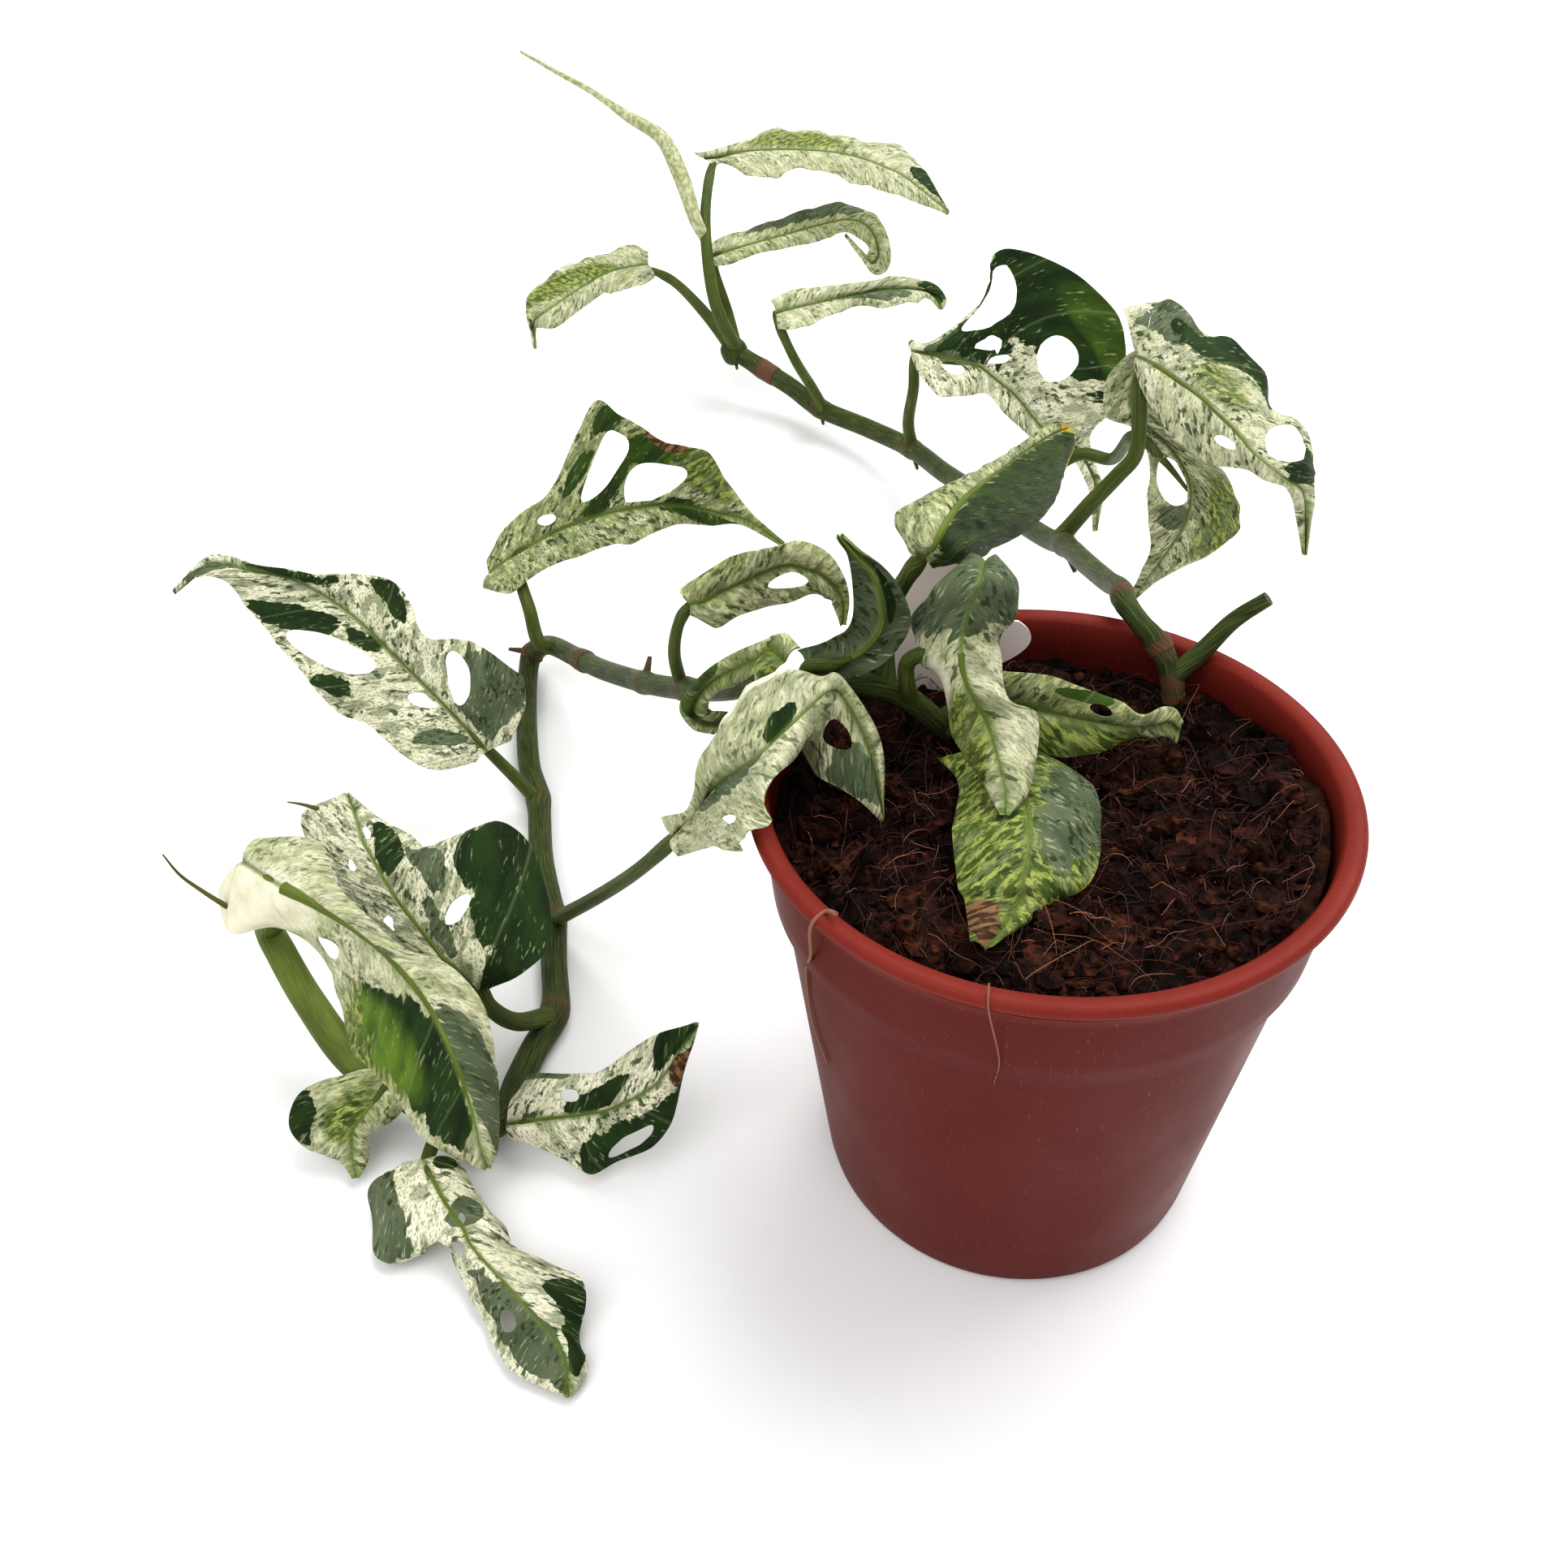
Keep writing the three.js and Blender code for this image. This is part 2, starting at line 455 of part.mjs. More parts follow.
    holes: [
      [0.62, -0.5, 0.07, -0.14, 0.01, 0.34],
      [0.03, -0.51, 0.03, -0.4, 0.03, 0.06],
      [0.44, 0.4, 0.04, -0.04, 0, 0.12],
    ],
    thick: [2.6, 2],
  },
  // Crumpled leaf hanging straight down from its curled base lobes.
  {
    name: 'leaf_back_hanging',
    stalk: [[28, 211, 52], [41, 211, 66], [51, 209, 74], [60, 201, 76], [59, 172, 96]],
    left: [[64, 176, 123], [65, 172, 119], [63, 170, 111], [65, 168, 105], [73, 168, 96],
      [86, 172, 86], [92, 174, 75], [96, 172, 65], [85, 168, 59], [70, 164, 53], [60, 160, 47]],
    rib: [[57, 170, 127], [54, 166, 122], [53, 166, 115], [55, 166, 109], [65, 168, 99], [71, 170, 92],
      [76, 168, 83], [76, 166, 73], [72, 164, 65], [66, 162, 57], [60, 160, 47]],
    right: [[51, 172, 122], [48, 172, 118], [47, 170, 112], [49, 170, 106], [57, 166, 103],
      [62, 166, 95], [62, 164, 86], [64, 164, 74], [66, 162, 64], [63, 160, 58], [60, 160, 47]],
    joint: [0.42, 1],
    holes: [
      [0.58, 0.4, 0.07, -0.26, 0.03, 0.38],
    ],
    thick: [2.4, 1.8],
  },
];

// Finishes.
const leafGreen = { color: 0x7f9a58, roughness: 0.45 };
const stemGreen = { color: 0x4c5a38, roughness: 0.5 };
const terracottaPlastic = { color: 0x8c3b34, roughness: 0.42 };
const darkCoir = { color: 0x35211a, roughness: 0.95 };
const greyPlastic = { color: 0xd9cfcb, roughness: 0.4 };

// A seeded draw, so that the soil is the same every time.
function seededDraw(seed) {
  let state = seed;
  return () => {
    state = (state * 16807) % 2147483647;
    return state / 2147483647;
  };
}

// A closed geometry as a solid for joins and cuts.
function solidOf(geometry) {
  geometry.deleteAttribute('normal');
  geometry.deleteAttribute('uv');
  const merged = mergeVertices(geometry);
  const vertProperties = new Float32Array(merged.attributes.position.array);
  const triVerts = new Uint32Array(merged.index.array);
  return new wasm.Manifold(new wasm.Mesh({ numProp: 3, vertProperties, triVerts }));
}

function geometryOf(solid) {
  const mesh = solid.getMesh();
  const geometry = new THREE.BufferGeometry();
  geometry.setAttribute('position', new THREE.BufferAttribute(mesh.vertProperties, 3));
  geometry.setIndex(new THREE.BufferAttribute(mesh.triVerts, 1));
  geometry.computeVertexNormals();
  return geometry;
}

// A geometry from points and triangles.
function closedGeometry(points, triangles) {
  const geometry = new THREE.BufferGeometry().setFromPoints(points);
  geometry.setIndex(triangles);
  return geometry;
}

const smoothLine = (vectors) => new THREE.CatmullRomCurve3(vectors, false, 'catmullrom', 0.5);

function lineThrough(points) {
  const vectors = points.map((p) => new THREE.Vector3(...p));
  return smoothLine(vectors);
}

// A round rod along a line, with a radius for each place along it.
function rod(line, radiusAt, sides, steps) {
  const frames = line.computeFrenetFrames(steps, false);
  const points = [];
  const triangles = [];
  for (let i = 0; i <= steps; i += 1) {
    const centre = line.getPointAt(i / steps);
    for (let k = 0; k < sides; k += 1) {
      const angle = (2 * Math.PI * k) / sides;
      const spoke = frames.normals[i].clone().multiplyScalar(Math.cos(angle));
      spoke.addScaledVector(frames.binormals[i], Math.sin(angle));
      points.push(centre.clone().addScaledVector(spoke, radiusAt(i / steps)));
    }
  }
  for (let i = 0; i < steps; i += 1) {
    for (let k = 0; k < sides; k += 1) {
      const a = i * sides + k;
      const b = i * sides + ((k + 1) % sides);
      triangles.push(a, b, a + sides, b, b + sides, a + sides);
    }
  }
  for (let k = 1; k < sides - 1; k += 1) {
    const last = steps * sides;
    triangles.push(0, k + 1, k, last, last + k, last + k + 1);
  }
  return solidOf(closedGeometry(points, triangles));
}

function ball(centre, radius) {
  const geometry = new THREE.IcosahedronGeometry(radius, 1);
  geometry.translate(...centre);
  return solidOf(geometry);
}

const taper = ([from, to]) => (t) => THREE.MathUtils.lerp(from, to, t);

// A short pointed root stub, from a node of the vine.
function rootStub([x, y, z, dx, dy, dz]) {
  const line = lineThrough([[x, y, z], [x + dx, y + dy, z + dz]]);
  return rod(line, taper(ROOT_STUB_RADII), ROOT_STUB_SIDES, 1);
}

// A vine with a swelling at each node and its root stubs; grow thickens it all for a clearance cut.
function vine({ path, radius, steps, nodes, tip, roots }, grow = 0) {
  const line = lineThrough(path);
  const centres = nodes.map((point) => new THREE.Vector3(...point));
  const radiusAt = (t) => {
    const nearest = Math.min(...centres.map((centre) => centre.distanceTo(line.getPointAt(t))));
    return taper(radius)(t * (2 - t)) + NODE_SWELL * Math.exp(-((nearest / NODE_LENGTH) ** 2)) + grow;
  };
  let solid = rod(line, radiusAt, VINE_SIDES, steps);
  solid = solid.add(ball(path.at(-1), tip + grow));
  if (grow === 0) {
    roots.forEach((root) => {
      solid = solid.add(rootStub(root));
    });
  }
  return solid;
}

function stub(grow = 0) {
  return rod(lineThrough(STUB.path), (t) => taper(STUB.radius)(t) + grow, VINE_SIDES, STUB.steps);
}

// The blade's middle surface: along runs 0 to 1 from base to tip, across -1 to 1 from left to right.
function bladeSurface(leaf, index) {
  const rib = lineThrough(leaf.rib);
  const left = lineThrough(leaf.left);
  const right = lineThrough(leaf.right);
  const flat = (along, across) => {
    const edge = (across < 0 ? left : right).getPoint(along);
    return rib.getPoint(along).lerp(edge, Math.abs(across));
  };
  const acrossWay = (along) => {
    const inner = THREE.MathUtils.clamp(along, ...WIDE_STRETCH);
    return right.getPoint(inner).sub(left.getPoint(inner)).normalize();
  };
  const up = (along, across) => {
    const inner = THREE.MathUtils.clamp(along, ...WIDE_STRETCH);
    const way = flat(inner + SLOPE_STEP, across).sub(flat(inner - SLOPE_STEP, across));
    const side = Math.abs(across) < ON_RIB ? 0 : Math.sign(across);
    const ends = side === 0 ? [-1, 1] : [Math.min(side, 0), Math.max(side, 0)];
    const span = flat(inner, ends[1]).sub(flat(inner, ends[0]));
    return span.cross(way).normalize();
  };
  const at = (along, across) => {
    const half = Math.abs(across);
    const crown = CROWN * 4 * half * (1 - half);
    const turn = 2 * Math.PI * WAVES_PER_EDGE * along + index + (across < 0 ? 2 : 0);
    const wave = EDGE_WAVE * half * half * Math.sin(turn) * Math.sin(Math.PI * along);
    const point = flat(along, across).addScaledVector(acrossWay(along), LEAST_HALF_WIDTH * across);
    return point.addScaledVector(up(along, across), crown + wave);
  };
  return { at, up };
}

// The blade as a thin closed solid, both faces split into the same triangles.
function blade({ at, up }) {
  const rows = ROWS_PER_BLADE;
  const strips = 2 * STRIPS_PER_HALF;
  const points = [];
  [1, -1].forEach((face) => {
    for (let i = 0; i <= rows; i += 1) {
      for (let k = 0; k <= strips; k += 1) {
        const across = (2 * k) / strips - 1;
        const offset = (face * BLADE_THICKNESS) / 2;
        points.push(at(i / rows, across).addScaledVector(up(i / rows, across), offset));
      }
    }
  });
  const width = strips + 1;
  const under = width * (rows + 1);
  const triangles = [];
  for (let i = 0; i < rows; i += 1) {
    for (let k = 0; k < strips; k += 1) {
      const a = i * width + k;
      const [b, c, d] = [a + 1, a + width, a + width + 1];
      triangles.push(a, b, c, b, d, c);
      triangles.push(under + a, under + c, under + b, under + b, under + c, under + d);
    }
  }
  const wall = (a, b) => triangles.push(a, under + a, b, b, under + a, under + b);
  for (let k = 0; k < strips; k += 1) {
    wall(k, k + 1);
    wall(rows * width + k + 1, rows * width + k);
  }
  for (let i = 0; i < rows; i += 1) {
    wall((i + 1) * width, i * width);
    wall(i * width + strips, (i + 1) * width + strips);
  }
  return solidOf(closedGeometry(points, triangles));
}

// A plug of the hole's outline, through the blade; a hole keeps off the rib and leaves a rim at the edge.
function holePlug({ at, up }, [along, across, longAlong, longAcross, shortAlong, shortAcross]) {
  const normal = up(along, across);
  const near = Math.min(RIB_CLEAR * Math.sign(across), EDGE_CLEAR * Math.sign(across));
  const far = Math.max(RIB_CLEAR * Math.sign(across), EDGE_CLEAR * Math.sign(across));
  const points = [];
  [1, -1].forEach((face) => {
    for (let k = 0; k < HOLE_CORNERS; k += 1) {
      const angle = (2 * Math.PI * k) / HOLE_CORNERS;
      const u = along + longAlong * Math.cos(angle) + shortAlong * Math.sin(angle);
      const v = across + longAcross * Math.cos(angle) + shortAcross * Math.sin(angle);
      const corner = at(THREE.MathUtils.clamp(u, ...HOLE_STRETCH), THREE.MathUtils.clamp(v, near, far));
      points.push(corner.addScaledVector(normal, face * HOLE_DEPTH));
    }
  });
  const n = HOLE_CORNERS;
  const triangles = [];
  for (let k = 0; k < n; k += 1) {
    const next = (k + 1) % n;
    triangles.push(k, next, n + k, next, n + next, n + k);
  }
  for (let k = 1; k < n - 1; k += 1) {
    triangles.push(0, k + 1, k, n, n + k, n + k + 1);
  }
  const plug = solidOf(closedGeometry(points, triangles));
  return plug.volume() > 0 ? plug : solidOf(closedGeometry(points, triangles.reverse()));
}

// The stalk, which runs on under the rib for a short way.
function stalk({ at, up }, { stalk: path, thick, joint = STALK_JOINT }, grow = 0) {
  const under = (along) => {
    const depth = BLADE_THICKNESS / 2 + thick[1] * STALK_SUNK;
    return at(along, joint[1]).addScaledVector(up(along, joint[1]), -depth);
  };
  const bends = path.slice(0, -1).map((point) => new THREE.Vector3(...point));
  const line = smoothLine([...bends, under(joint[0]), under(joint[0] + STALK_UNDER_BLADE)]);
  const radiusAt = (t) => {
    const beyond = (t - STALK_FREE_PART) / (1 - STALK_FREE_PART);
    const free = taper(thick)(t / STALK_FREE_PART);
    return (beyond < 0 ? free : taper([thick[1], STALK_END_RADIUS])(beyond)) + grow;
  };
  return rod(line, radiusAt, STALK_SIDES, STALK_STEPS);
}

// A leaf is its blade with the holes cut, joined to its stalk, with the foot cut clear of the vine.
function leafSolid(leaf, index, clearances) {
  const surface = bladeSurface(leaf, index);
  let solid = blade(surface);
  (leaf.holes ?? []).forEach((hole) => {
    solid = solid.subtract(holePlug(surface, hole));
  });
  solid = solid.add(stalk(surface, leaf));
  clearances.forEach((other) => {
    solid = solid.subtract(other);
  });
  return solid;
}

// The pot: walls, collar, beaded rim and floor turned in one profile, then drain holes and foot notches.
function potSolid() {
  const inner = (radius) => radius - WALL;
  const beadFoot = POT_HEIGHT - 2 * BEAD_RADIUS;
  const profile = [
    [0, 0],
    [BASE_RADIUS - BASE_CORNER, 0],
    [BASE_RADIUS, BASE_CORNER],
    [STEP_RADIUS, STEP_HEIGHT],
    [COLLAR_FOOT_RADIUS, STEP_HEIGHT + COLLAR_FOOT_RISE],
    [COLLAR_TOP_RADIUS, beadFoot - BEAD_CORNER],
    [RIM_RADIUS - BEAD_CORNER, beadFoot],
    [RIM_RADIUS, POT_HEIGHT - BEAD_RADIUS],
    [RIM_RADIUS - BEAD_CORNER, POT_HEIGHT - BEAD_CORNER / 2],
    [RIM_RADIUS - BEAD_RADIUS, POT_HEIGHT],
    [COLLAR_TOP_RADIUS - BEAD_CORNER, POT_HEIGHT - BEAD_CORNER],
    [inner(COLLAR_TOP_RADIUS), POT_HEIGHT - RIM_DEPTH],
    [inner(COLLAR_FOOT_RADIUS), STEP_HEIGHT + 2 * COLLAR_FOOT_RISE],
    [inner(STEP_RADIUS), STEP_HEIGHT],
    [inner(BASE_RADIUS), FLOOR],
    [0, FLOOR],
  ];
  const lathe = new THREE.LatheGeometry(profile.map((p) => new THREE.Vector2(...p)), POT_SIDES);
  lathe.rotateX(Math.PI / 2);
  let pot = solidOf(lathe);
  for (let k = 0; k < DRAIN_COUNT; k += 1) {
    const angle = (2 * Math.PI * (k + 0.5)) / DRAIN_COUNT;
    const drain = new THREE.CylinderGeometry(DRAIN_RADIUS, DRAIN_RADIUS, 4 * FLOOR, DRAIN_SIDES);
    drain.rotateX(Math.PI / 2);
    drain.translate(DRAIN_RING_RADIUS * Math.cos(angle), DRAIN_RING_RADIUS * Math.sin(angle), 0);
    pot = pot.subtract(solidOf(drain));
  }
  for (let k = 0; k < FOOT_NOTCH_COUNT; k += 1) {
    const notch = new THREE.BoxGeometry(...FOOT_NOTCH_SIZE);
    notch.translate(0, -BASE_RADIUS, 0);
    notch.rotateZ((2 * Math.PI * k) / FOOT_NOTCH_COUNT);
    pot = pot.subtract(solidOf(notch));
  }
  return pot;
}

// The soil fills the pot up to its level, with a lumpy top and plain holes for both vines.
function soilSolid(clearances) {
  const draw = seededDraw(7);
  const wallAt = (z) => {
    const t = (z - BASE_CORNER) / (STEP_HEIGHT - BASE_CORNER);
    return THREE.MathUtils.lerp(BASE_RADIUS, STEP_RADIUS, t) - WALL - 2 * GAP;
  };
  const sideRadius = COLLAR_FOOT_RADIUS - WALL - 2 * GAP;
  const points = [new THREE.Vector3(0, 0, SOIL_LEVEL)];
  const ringAt = (radius, heightOf) => {
    for (let k = 0; k < POT_SIDES; k += 1) {
      const angle = (2 * Math.PI * k) / POT_SIDES;
      points.push(new THREE.Vector3(radius * Math.cos(angle), radius * Math.sin(angle), heightOf()));
    }
  };
  for (let i = 1; i <= SOIL_RINGS; i += 1) {
    ringAt((sideRadius * i) / SOIL_RINGS, () => SOIL_LEVEL + SOIL_RELIEF * (2 * draw() - 1));
  }
  ringAt(sideRadius, () => STEP_HEIGHT + 3 * COLLAR_FOOT_RISE);
  ringAt(wallAt(STEP_HEIGHT), () => STEP_HEIGHT - COLLAR_FOOT_RISE);
  ringAt(wallAt(FLOOR + GAP), () => FLOOR + GAP);
  points.push(new THREE.Vector3(0, 0, FLOOR + GAP));
  const rings = SOIL_RINGS + 3;
  const triangles = [];
  for (let k = 0; k < POT_SIDES; k += 1) {
    const next = (k + 1) % POT_SIDES;
    triangles.push(0, 1 + k, 1 + next);
    for (let i = 0; i < rings - 1; i += 1) {
      const [a, b] = [1 + i * POT_SIDES + k, 1 + i * POT_SIDES + next];
      triangles.push(a, a + POT_SIDES, b, b, a + POT_SIDES, b + POT_SIDES);
    }
    const last = 1 + (rings - 1) * POT_SIDES;
    triangles.push(points.length - 1, last + next, last + k);
  }
  let soil = solidOf(closedGeometry(points, triangles));
  clearances.forEach((other) => {
    soil = soil.subtract(other);
  });
  return soil;
}

// The tag: a rounded head with an ear to the right, on a narrower foot that stands in the soil.
function tagSolid() {
  const at = ([x, y]) => [x * TAG_WIDTH / 2, y * TAG_HEIGHT];
  const outline = new THREE.Shape();
  outline.moveTo(...at(TAG_OUTLINE.foot[0]));
  outline.lineTo(...at(TAG_OUTLINE.shoulder));
  outline.quadraticCurveTo(...at(TAG_OUTLINE.headCorner), ...at(TAG_OUTLINE.headTop));
  outline.quadraticCurveTo(...at(TAG_OUTLINE.headRight), ...at(TAG_OUTLINE.neck));
  outline.lineTo(...at(TAG_OUTLINE.earTop));
  outline.quadraticCurveTo(...at(TAG_OUTLINE.earEnd), ...at(TAG_OUTLINE.earFoot));
  outline.lineTo(...at(TAG_OUTLINE.waist));
  outline.lineTo(...at(TAG_OUTLINE.foot[1]));
  outline.closePath();
  const options = { depth: TAG_THICKNESS, bevelEnabled: false, curveSegments: TAG_CURVE_STEPS };
  const geometry = new THREE.ExtrudeGeometry(outline, options);
  geometry.rotateX(Math.PI / 2 - TAG_LEAN);
  geometry.translate(...TAG_PLACE);
  return solidOf(geometry);
}

// A box round the tag's foot, cut from the soil.
function tagClearance() {
  const foot = new THREE.BoxGeometry(TAG_WIDTH + 2 * GAP, TAG_THICKNESS + 3 * GAP, TAG_HEIGHT);
  foot.translate(0, -TAG_THICKNESS / 2, TAG_HEIGHT / 2 - GAP);
  foot.rotateX(-TAG_LEAN);
  foot.translate(...TAG_PLACE);
  return solidOf(foot);
}

// The rolled new leaf: a spear that swells and ends in a point, grown from the side of the last stalk.
function spearRadius(t) {
  const swell = SPEAR.radius + SPEAR.swell * Math.sin(Math.PI * Math.min(2 * t, 1));
  return THREE.MathUtils.lerp(swell, SPEAR.tipRadius, t);
}

function spearSolid() {
  const index = LEAVES.findIndex((leaf) => leaf.name === SPEAR.grownFrom);
  const parent = stalk(bladeSurface(LEAVES[index], index), LEAVES[index], GAP);
  return rod(lineThrough(SPEAR.path), spearRadius, VINE_SIDES, SPEAR.steps).subtract(parent);
}

const plant = new THREE.Group();

function place(name, solid, finish) {
  const mesh = new THREE.Mesh(geometryOf(solid), new THREE.MeshStandardMaterial(finish));
  mesh.name = name;
  plant.add(mesh);
}

const vineClearances = [vine(BACK_VINE, GAP), vine(FRONT_VINE, GAP), stub(GAP)];

place('pot', potSolid(), terracottaPlastic);
place('soil', soilSolid([...vineClearances, tagClearance()]), darkCoir);
place('plant_tag', tagSolid(), greyPlastic);
place('vine_back', vine(BACK_VINE).add(stub()), stemGreen);
place('vine_front', vine(FRONT_VINE), stemGreen);
LEAVES.forEach((leaf, index) => place(leaf.name, leafSolid(leaf, index, vineClearances), leafGreen));
place('leaf_new_rolled', spearSolid(), leafGreen);

export default plant;
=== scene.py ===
import math
import random

import bpy
import numpy as np
from mathutils import Matrix, Vector, noise


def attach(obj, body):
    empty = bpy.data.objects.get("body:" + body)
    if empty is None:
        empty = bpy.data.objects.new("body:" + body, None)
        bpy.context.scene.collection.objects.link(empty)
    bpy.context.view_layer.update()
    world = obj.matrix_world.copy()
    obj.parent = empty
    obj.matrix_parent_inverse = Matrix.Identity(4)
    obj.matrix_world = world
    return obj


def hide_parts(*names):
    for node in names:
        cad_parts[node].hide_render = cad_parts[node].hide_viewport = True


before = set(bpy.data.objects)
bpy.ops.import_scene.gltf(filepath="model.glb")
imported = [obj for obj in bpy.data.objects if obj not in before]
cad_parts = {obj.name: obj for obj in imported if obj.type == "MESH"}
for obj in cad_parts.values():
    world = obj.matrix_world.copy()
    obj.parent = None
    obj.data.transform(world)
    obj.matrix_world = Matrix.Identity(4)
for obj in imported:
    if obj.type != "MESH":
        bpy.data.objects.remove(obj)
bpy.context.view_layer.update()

MM = 0.001
TINY = 1e-6

# Camera: where it stands, how far it looks down, how far it leans, its lens and the sensor behind it.
CAMERA_PLACE = (-0.0523, -0.2023, 0.2894)
CAMERA_DOWN = 40.8
CAMERA_LEAN = -2.49
CAMERA_LENS = 31.12
SENSOR_WIDTH = 36
NEAREST_SEEN = 0.01

# Studio, in metres: half the width of the floor, the light all around, and two soft square lamps, each with
# its place, where it aims, its size and its watts.
FLOOR_REACH = 3.0
ROOM_LIGHT = 0.5
LAMPS = dict(
    window_side=((0.8, 0.9, 2.1), (-0.05, 0.15, 0), 2, 46),
    front_fill=((-0.9, -1.1, 1.9), (-0.05, 0.1, 0), 2.4, 26),
)

# Pot, as radii and heights. A fine line runs round the collar a little below the bead.
RIM_RADIUS = 60
POT_HEIGHT = 114
BEAD_RADIUS = 1.5
COLLAR_TOP_RADIUS = 57.2
COLLAR_FOOT_RADIUS = 55.6
LINE_DROP = 2.6
LINE_RELIEF = 0.22
STEP_HEIGHT = 88.6
STEP_RADIUS = 53.7
BASE_RADIUS = 44.4
BASE_CORNER = 2
MIDDLE_RADIUS = 0.5
WALL = 1.6
FLOOR = 2.4
POT_SIDES = 200
DRAIN_COUNT = 6
DRAIN_RADIUS = 4
DRAIN_RING_RADIUS = 28
DRAIN_CUT = 2.6
DRAIN_SIDES = 32
NOTCH_HALF_WIDTH = 10
NOTCH_HEIGHT = 1.2
NOTCH_DEPTH = 4

# Soil: level, side, grid, the sizes and heights of its lumps, and how high they may stand.
SOIL_LEVEL = 103
SOIL_RADIUS = 53.2
SOIL_BRIM = 1.1
SOIL_SIDE = [(SOIL_RADIUS, 92), (51.3, 87), (42.3, 3), (0.5, 2.8)]
SOIL_RINGS = 70
SOIL_SIDES = 190
LUMPS = [(13, 2.8, 1.0), (4, 1.6, 0.8)]
GRIT = (1.3, 0.5)
LUMP_TOP = 1.8

# The soil is heaped against the wall on the right: its rise, the turn of its middle, how far it spreads
# to either side, and the radius where it begins.
HEAP_RISE = 5.5
HEAP_TURN = -0.1
HEAP_SPREAD = 1.15
HEAP_FOOT = 36

# Loose crumbs and coir fibres: how many, the ranges of their sizes, and the share that is big, flat or long.
CRUMB_COUNT = 900
CRUMB_SIZE = (0.5, 1.7)
BIG_CRUMB_SIZE = (1.7, 3)
SMALL_SHARE = 0.85
FLAT_SHARE = 0.3
CRUMB_GRID = (5, 7)
FIBRE_COUNT = 1300
FIBRE_LENGTH = (4, 11)
LONG_FIBRE_LENGTH = (14, 26)
LONG_SHARE = 0.12
FIBRE_THICKNESS = (0.06, 0.15)
RED_SHARE = 0.84

# Vines: radii at the soil and at the tip, the line of the middle, the nodes, the root stubs with their
# reach, the dried sheaths with their place along the vine and half length, and the radius of the end.
NODE_SWELL = 0.5
NODE_LENGTH = 4
VINE_STEPS = 300
BACK_VINE = dict(
    radius=(2.0, 4.1), end=6.5, seed=3.0,
    path=[[31, 30, 90], [34, 33, 104], [33, 36, 112], [30, 40, 117], [27, 42, 120], [25, 49, 121],
        [26, 58, 119], [28, 75, 110], [31, 107, 95], [33, 142, 80], [32, 168, 68], [25, 240, 42],
        [17, 286, 28], [8, 323, 20], [-8, 356, 14], [-28, 382, 12], [-41, 400, 15], [-54, 410, 20],
        [-67, 418, 26]],
    nodes=[[34, 36, 109], [31, 39, 116], [26, 52, 120], [33, 142, 80], [25, 240, 42], [8, 323, 20],
        [-28, 382, 12], [-54, 410, 20]],
    roots=[[33, 142, 80, 3, -4, -7], [8, 323, 20, 2, -5, -7], [-28, 382, 12, 1, -4, -6],
        [-67, 418, 26, 1, -5, -7]],
    sheaths=[(0.062, 1.3), (0.036, 1), (0.957, 4)],
)
FRONT_VINE = dict(
    radius=(2.4, 3.7), end=3.8, seed=6.0,
    path=[[-14, 35, 90], [-16, 29, 102], [-20, 25, 110], [-26, 25, 116], [-32, 25, 119], [-39, 24, 121],
        [-46, 24, 121], [-53, 28, 118], [-58, 43, 109], [-64, 56, 97], [-76, 82, 78], [-90, 110, 60],
        [-107, 145, 40], [-118, 166, 30], [-132, 192, 18], [-140, 200, 10], [-142, 195, 6], [-140, 170, 5],
        [-136, 143, 5], [-131, 125, 5], [-127, 97, 5], [-121, 72, 5], [-119, 55, 5], [-117, 37, 5],
        [-121, 25, 5], [-124, 13, 6], [-126, 2, 7], [-133, -1, 7], [-141, 2, 8], [-148, 6, 9],
        [-154, 9, 12]],
    nodes=[[-77, 84, 77], [-91, 112, 59], [-117, 164, 31], [-140, 200, 10], [-131, 125, 5],
        [-121, 72, 5], [-117, 37, 5]],
    roots=[[-91, 112, 59, 2, 4, 6], [-140, 200, 10, -9, 1, 1], [-117, 37, 5, -3, -8, -2]],
    sheaths=[(0.445, 0.8), (0.548, 1)],
)
STUB = [[34, 35, 111], [40, 37, 116], [46, 39, 122], [52, 38, 128]]
STUB_RADIUS = (2.3, 1.6)

# The rolled new leaf: its line, the radius of its ends, how much wider it is, and its tint.
SPEAR = [[-77, 429, 74], [-81, 431, 82], [-84, 438, 90], [-88, 450, 98], [-96, 468, 108], [-112, 483, 114],
    [-130, 502, 121], [-147, 515, 127], [-165, 534, 132]]
SPEAR_END = 0.5
SPEAR_RADIUS = 2.0
SPEAR_GROUND = (0.45, 0.12, 0)

# A root that hangs over the rim at the front left and a thin one beside it: turn in degrees and height.
# Then how far each stands off the pot, its radius at both ends, its sides and its steps.
ROOT_STRAND = [(-140, 116), (-143, 114.3), (-143.5, 112), (-147.5, 99.1), (-157.8, 81.5), (-159.9, 63.3),
    (-154.5, 54.1)]
THIN_ROOT = [(-110, 115.5), (-109.2, 112), (-106.9, 96.3), (-107.6, 84.2)]
STRANDS = [(ROOT_STRAND, 0.5, 0.42, 0.22, 10, 80), (THIN_ROOT, 0.3, 0.2, 0.1, 8, 40)]

# Dried thread-like ends that stand out from two blades.
WHISKERS = dict(
    leaf_front_dome=[[-189.1, 31.9, 55.6], [-193.0, 31.4, 61.7], [-196.3, 30.9, 67.9], [-197.8, 30.4, 75.1]],
    leaf_front_round=[[-183.4, 85.7, 39.0], [-187.5, 85.2, 41.5], [-191.0, 84.7, 43.0]],
)

